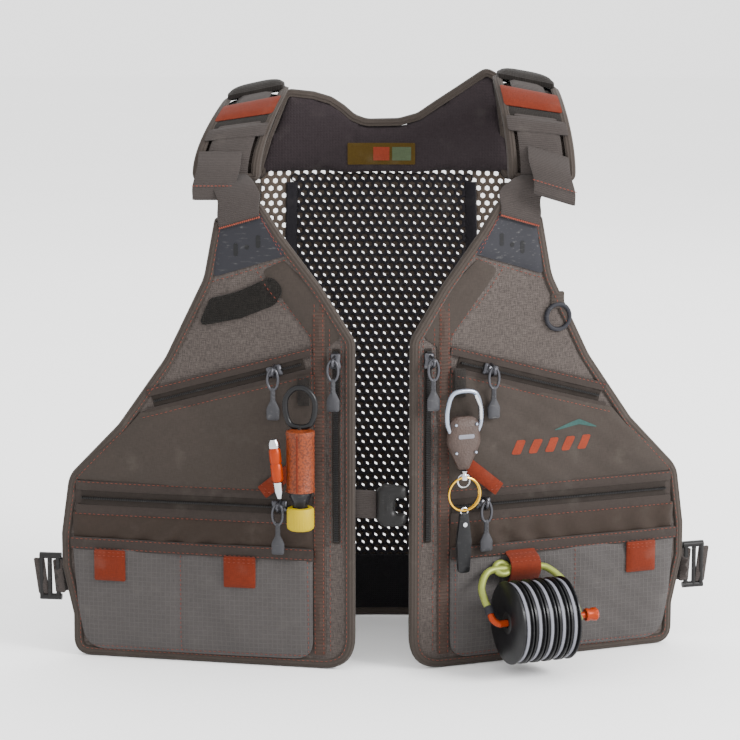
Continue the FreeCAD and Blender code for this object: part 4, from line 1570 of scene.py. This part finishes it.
@dataclass
class Shoulders:
    """Padded shoulders, their bands, webbing and loops."""

    radius: float = 56.0
    wide: float = 48.0
    height: float = 350.0

    def build(self) -> None:
        """Make both shoulders."""
        for side in ("left", "right"):
            low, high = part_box(side + "_shoulder_pad")
            self.shoulder(side, (low.x + high.x) / 2, high.y - self.radius * MM)

    def shoulder(self, side: str, x: float, y: float) -> None:
        """Make one shoulder.

        Args:
            side: Left or right.
            x: Middle of its width, in metres.
            y: Middle of its bend, in metres.
        """
        inward = 1 if side == "left" else -1
        lift = -0.005 if side == "left" else 0.003
        lean = 0.019 if side == "left" else 0.009

        def place(across: float, along: float, out: float) -> Vector:
            angle = along / self.radius
            reach = (self.radius + out) * MM
            rise = math.sin(angle) * reach
            share = min(max(rise / (self.radius * MM), 0.0), 1.0)
            return Vector((x + across * MM + inward * lean * share ** 1.7, y + math.cos(angle) * reach,
                           self.height * MM + rise + (across * inward * MM * 0.2 + lift) * share))
        turn = math.pi * self.radius / 180
        half = self.wide / 2
        pad = slab(f"{side}_shoulder_padding", rounded(square(-half + 2, -15 * turn, half - 2, 184 * turn,
                                                              6)),
                   -9, -1.5, place, "air_mesh", cell=4, edge=4.0)
        pad = Stuffing(3.6, 10, 1.6).fill(pad)
        settle(pad, "root", "pad", side + "_shoulder_pad")
        section = [(-1.6, 0), (-1.2, 4.6), (2.2, 6.6), (5.2, 5.4), (5.2, -2.4), (2.2, -3.6), (-1.2, -2.8)]
        outline = rounded(square(-half + 1.6, -15 * turn, half - 1.6, 185 * turn, 5))
        edge = swept(f"{side}_pad_binding", resampled(outline + outline[:1], 5)[:-1], section, place,
                     "binding_tape", base=-4.4)
        settle(edge, "root", "pad")
        nodes = side == "left"
        sheet = self.strap_maker(side, place)
        sheet("shoulder_top_padding", 20, 66 * turn, 100 * turn, 1.5, 9, "dark_loop", "loop", 4.0,
              *(("shoulder_top_loops",) if nodes else ()))
        sheet("shoulder_top_webbing", 12, 52 * turn, 112 * turn, 0.0, 2.4, "grey_webbing", "webbing", 0.8)
        sheet("shoulder_orange_band", 20.5, 114 * turn, 134 * turn, 1.6, 3.0, "orange_cloth",
              "orange_fabric", 1.0,
              *(("shoulder_bands",) if nodes else ()))
        sheet("shoulder_gap_band", 20.5, 133 * turn, 146 * turn, 0.2, 1.6, "dark_loop", "webbing", 1.0)
        sheet("shoulder_cross_band", 21, 143 * turn, 153 * turn, 2.6, 5.0, "grey_webbing", "webbing", 1.0)
        sheet("shoulder_front_webbing", 15, 140 * turn, 190 * turn, 1.4, 3.2, "grey_webbing", "webbing", 0.8,
              *(("shoulder_webbing",) if nodes else ()))

    @staticmethod
    def strap_maker(side: str, place: Mapping) -> Callable:
        """A function that lays a strap over one shoulder."""
        def sheet(label: str, half: float, start: float, end: float, low: float, high: float, finish: str,
                  slot: str, edge: float, *nodes: str) -> Piece:
            piece = slab(f"{side}_{label}", rounded(square(-half, start, half, end, 2)), low, high, place,
                         finish, cell=4, edge=edge, relief=creases(0.3, start))
            return settle(piece, "root", slot, *nodes)
        return sheet


@dataclass
class ShoulderStrap:
    """Webbing from the front end of a shoulder down to the front's patch."""

    frame: FrontFrame
    wide: float = 30.0

    def build(self) -> None:
        """Make the strap, the folded tail on it, and its bar of stitches."""
        side = self.frame.side
        low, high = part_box(side + "_shoulder_pad")
        middle = (low.x + high.x) / 2
        top = Vector((middle, low.y - 0.003, 0.349))
        end = self.frame.at(82, 325, 6.6)
        turn = self.frame.at(82, 336, 5.0)
        over = self.frame.at(81, 317, 5.6)
        path = smooth_path([top, (top + turn) / 2 + Vector((0, -0.0015, 0.002)), turn, end, over], 6)
        across_low = (self.frame.out - Vector((0, 0, 0.3))) * self.frame.sign
        count = len(path)
        across = [Vector((1, 0, 0)).lerp(across_low, i / (count - 1)) for i in range(count)]
        strap = ribbon(f"{side}_shoulder_strap", path, across, self.wide, 2.2, "grey_webbing")
        self.frame.body
        tuple(self.frame.at(82, 332, 5))
        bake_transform(strap)
        shift = self.frame.sign * 0.008
        fold = [(0.016, 0.002, 0.5), (0.006, -0.0075, 0.6), (-0.006, -0.0105, 1), (-0.0135, -0.0125, 1),
                (-0.0145, -0.0105, 1), (-0.006, -0.0085, 1)]
        bend = smooth_path([top + Vector((shift * share, out, rise)) for rise, out, share in fold], 5)
        slope = 0.0 if side == "left" else -0.3
        tail = ribbon(f"{side}_strap_tail", bend, [Vector((1, 0, slope))] * len(bend), self.wide, 2.0,
                      "grey_webbing")
        settle(tail, "root", "webbing")
        line = [top + Vector((shift + u, -0.0128, -0.006 + u * slope)) for u in (-0.0145, 0.0145)]
        bar = [self.frame.at(u, 318 - (u - 81) * 0.3, 7.2) for u in (67, 95)]
        thread = beads(f"{side}_strap_stitches", [line], Bead.THREAD, 0.0026, (0.0006, 0.0006, 0.0023),
                       "rust_thread")
        settle(thread, "root", "webbing")
        tack = beads(f"{side}_bar_tack", [bar], Bead.THREAD, 0.0015, (0.0016, 0.0016, 0.0018), "rust_thread")
        settle(tack, self.frame.body, "webbing")


@dataclass
class SideStraps:
    """Side webbing and its ladder-lock buckles."""

    fronts: dict[str, FrontFrame]
    height: float = 57.5

    def build(self) -> None:
        """Make both sides."""
        for side, front in self.fronts.items():
            first = side == "left"
            y_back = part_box("side_straps")[1].y
            start = Vector((front.sign * 0.1695 + middle_of("back_mesh_panel").x, y_back, 0))
            end = front.at(220, 0, 0.5)
            start.z = end.z = self.height * MM
            middle = (start + end) / 2 + Vector((0, 0.004, -0.001))
            path = smooth_path([start, middle, end], 8)
            strap = ribbon(side + "_side_webbing", path, [UP] * len(path), 25, 2, "grey_webbing")
            settle(strap, "root", "webbing", *(("side_straps",) if first else ()))
            self.buckle(side, front, self.height, first)

    @staticmethod
    def buckle(side: str, front: FrontFrame, middle: float, first: bool) -> None:
        """Make one ladder-lock: a frame with two bars, and the webbing folded round it.

        Args:
            side: Left or right.
            front: The front beside it.
            middle: Height of its middle.
            first: Whether it stands for the CAD buckles.
        """
        parts = []
        for index, (u0, u1) in enumerate(((217.4, 220.4), (223.6, 226.4), (229.4, 232.2))):
            bar = [front.at((u0 + u1) / 2, v, 3.4 + index * 0.8) for v in (middle - 15, middle, middle + 15)]
            parts.append(wire(f"bar_{side}_{index}", bar, 0.0019, "black_acetal", sides=10, flat=0.8))
        for v in (middle - 15.2, middle + 15.2):
            rail = [front.at(u, v, 2.9 + (u - 217) * 0.08) for u in (216.6, 222, 228, 232.4)]
            parts.append(wire(f"rail_{side}_{v}", rail, 0.0024, "black_acetal", sides=10, flat=0.9))
        frame_piece = joined(side + "_ladder_lock", parts)
        settle(frame_piece, "root", "buckle", *(("side_buckles",) if first else ()))
        straps = (("fold", [(214, -12), (221, -12), (223, 12), (216, 12)], 1.0, 6.6),
                  ("flap", [(226, -13), (233.5, -13), (237, 13), (229, 13)], 3.6, 6.4))
        for label, corners, low, high in straps:
            outline = rounded([(u, middle + v, 1.2) for u, v in corners])
            settle(slab(f"{side}_buckle_{label}", outline, low, high, front.at, "grey_webbing", cell=4,
                        edge=1.0),
                   "root", "webbing")


# ------------------------------------------------------------------ zippers' sliders and pulls
@dataclass
class ZipPull:
    """A slider with its lug, and the wire ring and rubber tail that hang on it."""

    front: FrontFrame
    place: str
    u: float
    v: float
    turn: float

    def build(self) -> None:
        """Make the slider and the pull."""
        front, name = self.front, f"{self.front.side}_{self.place}"
        cos, sin = math.cos(math.radians(self.turn)), math.sin(math.radians(self.turn))

        def local(a: float, b: float, w: float) -> Vector:
            return front.at(self.u + a * cos - b * sin, self.v + a * sin + b * cos, w)
        shell = rounded([(-4.4, -5, 2.4), (4.4, -5, 2.4), (3.2, 1, 3), (4.0, 6.4, 2.2), (-4.0, 6.4, 2.2),
                         (-3.2, 1, 3)])
        slider = slab(name + "_slider_shell", shell, 5.3, 8.6, local, "gunmetal", cell=1.6, edge=0.9)
        arch = [front.at(self.u, self.v + b, w) for b, w in ((-4, 8.2), (-3, 12), (-1.5, 14.8), (1.2, 15.8),
                                                             (3.2, 14), (4.2, 8.4))]
        lug = wire(name + "_lug", smooth_path(arch, 4), 0.0011, "gunmetal", sides=10)
        slider = joined(name + "_slider_metal", [slider, lug])
        settle(slider, name + "_slider_body", "slider_metal", name + "_slider")
        top = self.v + 2.6
        ring = ellipse(front.at(self.u, top - 7.4, 14.2), front.out * 3.8 * MM, UP * 7.4 * MM, 32)
        loop = wire(name + "_ring", ring, 0.0010, "gunmetal", closed=True, sides=10)
        crown = top - 14.2
        outline = rounded([(self.u + a, crown + b, r) for a, b, r in (
            (-1.5, 1, 0.8), (1.5, 1, 0.8), (1.6, -8, 5), (4.6, -14, 4), (4.4, -22, 2), (-4.4, -22, 2),
            (-4.6, -14, 4),
            (-1.6, -8, 5))])
        tail = slab(name + "_tail", outline, 13.2, 16.2, front.at, "pull_rubber", cell=1.6, edge=0.9)
        pull = joined(name + "_pull_tail", [loop, tail])
        settle(pull, name + "_pull_body", "pull", name + "_pull")


# ------------------------------------------------------------------ closure, rings and clipped tools
@dataclass
class Closure:
    """Front webbing with its socket, and the plug parked behind the other front."""

    left: FrontFrame
    right: FrontFrame
    middle: float = 120.0

    def build(self) -> None:
        """Make the strap, the socket and the plug."""
        strap = slab("closure_webbing", rounded(square(-15, self.middle - 10, 46, self.middle + 10, 1)), -3.0,
                     -1.2, self.left.at, "grey_webbing", cell=4, edge=0.8)
        settle(strap, "left_front", "webbing", "closure_strap")
        points = [(-14.4, self.middle - 11, 3), (-14.4, self.middle + 11, 3), (-20, self.middle + 15.5, 5),
                  (-35.6, self.middle + 14, 8), (-35.6, self.middle + 5.4, 2), (-28, self.middle + 5.6, 5),
                  (-27, self.middle - 5.6, 5), (-35.6, self.middle - 5.4, 2), (-35.6, self.middle - 14, 8),
                  (-20, self.middle - 15.5, 5)]
        socket = slab("closure_socket_shell", rounded(points), -3.6, 2.2, self.left.at, "black_acetal",
                      cell=2.5, edge=1.4)
        rib = slab("socket_rib", rounded(square(-25, self.middle - 9, -21, self.middle + 9, 1.5)), 1.5, 3.0,
                   self.left.at, "black_acetal", cell=2.5, edge=0.6)
        settle(joined("closure_socket_body", [socket, rib]), "left_front", "buckle", "closure_socket")
        plug = slab("closure_plug_shell", rounded(square(10, self.middle - 11, 44, self.middle + 11, 5)),
                    -6.6,
                    -1.6, self.right.at, "black_acetal", cell=4, edge=1.2)
        settle(plug, "right_front", "buckle", "closure_plug")


@dataclass
class Retractor:
    """Carabiner, leather-look retractor case, tether rings and line nipper."""

    front: FrontFrame
    u: float = 35.0
    out: float = 14.0

    def place(self, a: float, v: float, w: float = 0.0) -> Vector:
        """A point of the set, from its own middle line."""
        return self.front.at(self.u + a, v, self.out + w)

    def build(self) -> None:
        """Make the set's pieces."""
        low, high = (corner.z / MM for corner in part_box("retractor_clip"))
        arch = [(-9, low - 14), (-12.6, low - 5), (-12.4, low + 6), (-8.6, high - 3.4), (0, high - 1.4),
                (8.6, high - 3.4), (12.4, low + 6), (12.6, low - 5), (9, low - 14)]
        frame_bar = wire("clip_bar", smooth_path([self.place(a, v, 3) for a, v in arch], 6), 0.0017,
                         "silver_anodised", sides=14)
        gate = wire("clip_gate", [self.place(a, v, 4.4)
                                  for a, v in ((12.2, low - 3), (12, low + 6), (8, high - 4))],
                    0.0014, "bright_steel", sides=10)
        settle(joined("retractor_carabiner", [frame_bar, gate]), "retractor", "clip_metal", "retractor_clip")
        foot, top = (corner.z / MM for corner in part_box("retractor_case"))
        case = rounded([(-3.4, foot, 3), (3.4, foot, 3), (12.6, foot + 19, 13), (10.4, top, 8),
                        (-10.4, top, 8),
                        (-12.6, foot + 19, 13)])
        body = slab("case_body", case, 0.6, 7.4, self.place, "case_leather", cell=2.2, edge=2.2, domed=0.8)
        rivets = [lathe(f"rivet_{i}", [(0, 0), (1.1, 0), (1.1, 0.4), (0.8, 0.8), (0, 0.9)],
                        self.place(a, v, 7.2), self.front.face, "silver_anodised", 16)
                  for i, (a, v) in enumerate(((-7.8, top - 5), (7.8, top - 5), (-7.4, foot + 13),
                                              (7.4, foot + 13)))]
        badge = slab("case_badge", rounded(square(-6, top - 15, 6, top - 12, 1.4)), 7.2, 8.4, self.place,
                     "spool_rim", cell=2.5, edge=0.8)
        settle(joined("retractor_shell", [body, badge] + rivets), "retractor", "case", "retractor_case")
        self.tether()

    def tether(self) -> None:
        """Barrel, split rings and the black nipper under them."""
        barrel = lathe("tether_barrel", [(0, 0), (2.2, 0.4), (2.4, 3), (1.6, 5), (2.4, 7), (0, 7.6)],
                       self.place(0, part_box("retractor_case")[0].z / MM - 7.4, 4), UP, "bright_steel", 20)
        height = middle_of("tether_ring").z / MM
        small = self.hoop("small_ring", height + 9.2, 4.6, 0.0007, "bright_steel", 3.0)
        big = [self.hoop(f"split_ring_{k}", height, 11.6 + k * 0.3, 0.00075, "brass_wire", 3.4 + k * 1.3)
               for k in range(2)]
        rings = joined("tether_rings", [barrel, small] + big)
        settle(rings, "tether", "brass", "tether_ring")
        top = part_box("line_nipper")[1].z / MM
        jaw = rounded([(-3, top, 2), (-5.6, top - 20, 4), (-4.2, top - 43, 2.5), (4.2, top - 43, 2.5),
                       (5.6, top - 20, 4), (3, top, 2)])
        blades = [slab(f"nipper_blade_{k}", jaw, w, w + 1.5, self.place, "spool_black", cell=3, edge=0.6)
                  for k, w in enumerate((2.2, 4.2))]
        pin = lathe("nipper_pin", [(0, 0), (1.6, 0), (1.6, 4.4), (0, 4.6)], self.place(0, top - 8, 1.9),
                    self.front.face, "bright_steel", 16)
        hanger = self.hoop("nipper_hanger", top + 1.2, 2.6, 0.0006, "bright_steel", 4.0)
        settle(joined("nipper_tool", blades + [pin, hanger]), "tether", "steel", "line_nipper")

    def hoop(self, name: str, v: float, radius: float, thick: float, finish: str, w: float) -> Piece:
        """A wire ring that lies in the cloth's plane.

        Args:
            name: The ring's name.
            v: Height of its middle.
            radius: Its radius.
            thick: Its wire's radius, in metres.
            finish: Name of its finish.
            w: Its place out of the cloth.

        Returns:
            The ring.
        """
        path = ellipse(self.place(0, v, w), self.front.out * radius * MM, UP * radius * MM, 36)
        return wire(name, path, thick, finish, closed=True, sides=8)


@dataclass
class FloatantSet:
    """Clip, burnt-orange bottle sleeve, bottle with a yellow cap, and a small nipper on the sleeve."""

    front: FrontFrame
    u: float = 33.0

    def build(self) -> None:
        """Make the set's pieces."""
        foot, r = upright("floatant_sleeve")
        wall = [(r - 1.4, 0), (r - 0.1, 0.3), (r, 2), (r - 0.5, 3), (r - 0.3, 20), (r - 0.5, 39), (r, 41),
                (r - 0.6, 43), (r * 0.6, 44), (2, 44.2), (2, 43.4), (r * 0.6, 43), (r - 1.5, 41)]
        sleeve = lathe("sleeve_shell", wall, foot, UP, "burnt_sleeve", 48)
        line = [foot + (self.front.face * (r - 0.1) + UP * z) * MM for z in (1, 12, 28, 41)]
        seam = wire("sleeve_seam", line, 0.0006, "orange_cloth", sides=8)
        holder = joined("floatant_holder", [sleeve, seam])
        settle(holder, "floatant_set", "sleeve", "floatant_sleeve")
        middle = middle_of("floatant_clip")
        shape = [(-7, -12), (-10.2, -4), (-10, 6), (-4, 13), (4, 13), (10, 6), (10.2, -4), (7, -12), (0, -14)]
        path = smooth_path([middle + (self.front.out * a + UP * b) * MM for a, b in shape], 5, True)
        clip = wire("clip_frame", path, 0.0020, "spool_black", closed=True, sides=12)
        fall = [middle - UP * 0.013, middle - UP * 0.017 + self.front.face * 0.002, foot + UP * 0.0448]
        tie = wire("clip_tie", smooth_path(fall, 5), 0.0016, "dark_loop", sides=10)
        settle(joined("floatant_carabiner", [clip, tie]), "floatant_set", "clip_metal", "floatant_clip")
        self.bottle()
        self.nipper(foot, r)

    @staticmethod
    def bottle() -> None:
        """Bottle with its neck, and the ribbed yellow cap."""
        foot, r = upright("floatant_bottle")
        glass = lathe("bottle_body", [(0, 0), (r * 0.56, 0), (r * 0.6, 1), (r * 0.6, 9), (r * 0.7, 12),
                                      (r - 0.4, 15.5), (r - 0.1, 18), (r - 0.1, 56), (r - 1, 57.8), (0, 58)],
                      foot, UP, "bottle_black", 40)
        settle(glass, "bottle", "bottle", "floatant_bottle")
        foot, r = upright("floatant_cap")
        cap = lathe("cap_shell", [(0, 0), (r * 0.82, 0), (r - 0.5, 1.0), (r - 0.1, 2.6), (r - 0.1, 14.2),
                                  (r - 0.9, 15.6), (r * 0.6, 15.9), (r * 0.58, 8), (0, 7.6)], foot, UP,
                    "yellow_cap", 64, 0.3)
        settle(cap, "bottle_cap", "cap", "floatant_cap")

    def nipper(self, foot: Vector, r: float) -> None:
        """Small orange tool with silver ends, clipped beside the sleeve."""
        base = foot + (self.front.out * (r + 2.6) + self.front.face * (r - 2)) * MM - UP * 0.004
        lean = (UP + self.front.out * 0.10).normalized()
        grip = lathe("tool_grip", [(0, 0), (3.0, 0.2), (4.1, 2), (4.1, 12), (3.5, 13), (4.1, 14), (4.1, 22),
                                   (3.2, 24), (0, 24.2)], base + lean * 0.012, lean, "orange_anodised", 28)
        tip = lathe("tool_tip", [(0, 0), (1.6, 0.3), (3.0, 5), (3.4, 11.8), (0, 12)], base, lean,
                    "bright_steel", 24)
        head = lathe("tool_head", [(0, 0), (4.0, 0.2), (4.0, 3), (2.6, 6), (0, 6.4)], base + lean * 0.036,
                     lean,
                     "bright_steel", 28)
        settle(joined("pocket_tool", [grip, tip, head]), "floatant_set", "steel")


@dataclass
class TippetHolder:
    """Green bow with its eyelet, orange rod and knob, and five line spools."""

    front: FrontFrame
    spools: int = 5

    def build(self) -> None:
        """Make the holder's pieces."""
        middles = [middle_of(f"tippet_spool_{number}") for number in range(1, self.spools + 1)]
        across = (middles[-1] - middles[0]).normalized()
        self.bow(middles[0], middles[-1], across)
        for number, middle in enumerate(middles, start=1):
            self.spool(number, middle, across)

    def bow(self, first: Vector, last: Vector, across: Vector) -> None:
        """The bent bar, its eyelet, and the rod that it carries."""
        rise = self.front.at(82, 71, 16) - first
        rise -= across * rise.dot(across)
        reach = rise.length
        up = rise.normalized()
        start, end = first - across * 0.01425, last + across * 0.0150
        span = (end - start).length

        def spot(a: float, b: float) -> Vector:
            return start + across * a + up * b
        path = [spot(0, 0.013), spot(-0.001, 0.020), spot(0.0, reach * 0.72), spot(0.009, reach * 0.98),
                spot(0.026, reach), spot(span * 0.72, reach), spot(span - 0.009, reach * 0.9),
                spot(span - 0.001, reach * 0.6), spot(span + 0.001, 0.008), spot(span, -0.003)]
        bar = wire("bow_bar", smooth_path(path, 6), 0.0026, "green_anodised", sides=14)
        eye = spot(span * 0.30, reach + 0.0005)
        ring = wire("bow_eyelet", ellipse(eye, up * 0.0048, across * 0.0052, 28), 0.0022, "green_anodised",
                    closed=True, sides=10)
        settle(joined("tippet_frame", [bar, ring]), "tippet_holder", "green_metal", "tippet_bow")
        bent = smooth_path([spot(0, 0.010), spot(0.0003, 0.004), spot(0.004, 0.0), spot(0.010, 0.0), last,
                            end + across * 0.006], 6)
        rod = wire("rod_bar", bent, 0.0024, "orange_anodised", sides=16)
        knob = lathe("rod_knob", [(0, 0), (4.4, 0.4), (4.8, 2), (4.0, 4), (4.8, 6), (4.8, 8.6), (3.6, 9.8),
                                  (0, 10)], end + across * 0.005, across, "orange_anodised", 32, 0.25)
        collar = lathe("rod_collar", [(0, 0), (3.2, 0.2), (3.4, 3), (3.2, 6.4), (0, 6.8)], spot(0, 0.0075),
                       up,
                       "slate_rubber", 28)
        settle(joined("tippet_spindle", [rod, knob, collar]), "tippet_holder", "orange_metal", "tippet_rod")

    @staticmethod
    def spool(number: int, middle: Vector, across: Vector) -> None:
        """One spool: two flanges, the wound line and a pale band on its rim.

        Args:
            number: Which spool.
            middle: Its middle, in metres.
            across: Direction of its axis.
        """
        foot = middle - across * 0.00425
        flanges = lathe(f"spool_{number}_body",
                        [(3.3, 0), (28.4, 0), (29.3, 0.5), (29.3, 1.3), (28.4, 1.8), (27.4, 2.0), (27.4, 6.5),
                         (28.4, 6.7), (29.3, 7.2), (29.3, 8.0), (28.4, 8.5), (3.3, 8.5)], foot, across,
                        "spool_black", 64)
        band = lathe(f"spool_{number}_band", [(27.0, 3.1), (28.0, 3.2), (28.2, 3.6), (28.2, 4.9), (28.0, 5.3),
                                              (27.0, 5.4)], foot, across, "spool_rim", 56)
        hub = lathe(f"spool_{number}_hub", [(3.4, -0.2), (7.4, -0.2), (8.0, 0.3), (8.0, 8.2), (7.4, 8.7),
                                            (3.4, 8.7)],
                    foot, across, "black_acetal", 36)
        settle(joined(f"spool_{number}", [flanges, band, hub]), f"spool_{number}", "spool",
               f"tippet_spool_{number}")


@dataclass
class SmallRing:
    """The grey ring on the right front."""

    front: FrontFrame

    def build(self) -> None:
        """Make the ring."""
        path = ellipse(middle_of("d_ring"), self.front.out * 0.009, UP * 0.009, 36)
        ring = wire("grey_ring", path, 0.0016, "slate_rubber", closed=True, sides=12)
        settle(ring, "d_ring_body", "slider_metal", "d_ring")


# ------------------------------------------------------------------ studio
class Studio:
    """Floor, lights and camera."""

    @staticmethod
    def build() -> None:
        """Set up the studio."""
        Studio.camera()
        Studio.floor()
        Studio.lights()

    @staticmethod
    def camera() -> None:
        """A long lens a little above the vest's middle."""
        tilt, distance = math.radians(10.0), 1.94
        target = Vector((-0.0033, -0.045, 0.2150))
        camera = placed("Camera", bpy.data.cameras.new("Camera"))
        camera.location = target + Vector((0, -math.cos(tilt), math.sin(tilt))) * distance
        camera.rotation_euler = (math.pi / 2 - tilt, 0, 0)
        camera.data.lens = 135.0
        camera.data.sensor_width = 36.0
        bpy.context.scene.camera = camera

    @staticmethod
    def floor() -> None:
        """A plain pale floor."""
        mesh = bpy.data.meshes.new("floor")
        size = 6.0
        mesh.from_pydata([(-size, -size, 0), (size, -size, 0), (size, size, 0), (-size, size, 0)], [],
                         [(0, 1, 2, 3)])
        sheet = ShaderSheet("floor_paint", False)
        broad = sheet.noise(3, 2)
        colour = sheet.mix(broad, (0.94, 0.94, 0.94, 1), (0.97, 0.97, 0.97, 1))
        mesh.materials.append(sheet.finish(colour, 0.9, None, 0.0))
        placed("floor", mesh)

    @staticmethod
    def lights() -> None:
        """A bright room, and three soft boxes."""
        world = bpy.data.worlds.new("Studio")
        world.use_nodes = True
        world.node_tree.nodes["Background"].inputs["Color"].default_value = (1, 1, 1, 1)
        world.node_tree.nodes["Background"].inputs["Strength"].default_value = 2.2
        bpy.context.scene.world = world
        aims = (("key", (2.3, -1.2, 1.5), 150, 1.2), ("fill", (-1.8, -1.4, 1.2), 3, 1.6),
                ("rim", (0.6, 1.8, 1.8), 18, 1.2))
        for name, place, power, size in aims:
            data = bpy.data.lights.new(name, "AREA")
            data.energy = power
            data.size = size
            lamp = placed(name, data)
            lamp.location = place
            lamp.rotation_euler = (Vector((0, 0, 0.2)) - lamp.location).to_track_quat("-Z", "Y").to_euler()


def main() -> None:
    """Build the vest, sub-assembly by sub-assembly."""
    logging.basicConfig(level=logging.INFO, format="%(message)s")
    Studio.build()
    left, right = FrontFrame("left"), FrontFrame("right")
    for front_frame in (left, right):
        Front(front_frame).build()
        ShoulderStrap(front_frame).build()
    Back(BackFrame()).build()
    Shoulders().build()
    SideStraps({"left": left, "right": right}).build()
    Closure(left, right).build()
    for front_frame, chest_u, band_u in ((left, 56, 53), (right, 59, 54)):
        ZipPull(front_frame, "chest", chest_u, chest_line(chest_u), -106).build()
        ZipPull(front_frame, "band", band_u, BAND_V, -90).build()
        ZipPull(front_frame, "front", 13, 222, 0).build()
    Retractor(right).build()
    SmallRing(right).build()
    FloatantSet(left).build()
    TippetHolder(right).build()


if __name__ == "__main__":
    main()
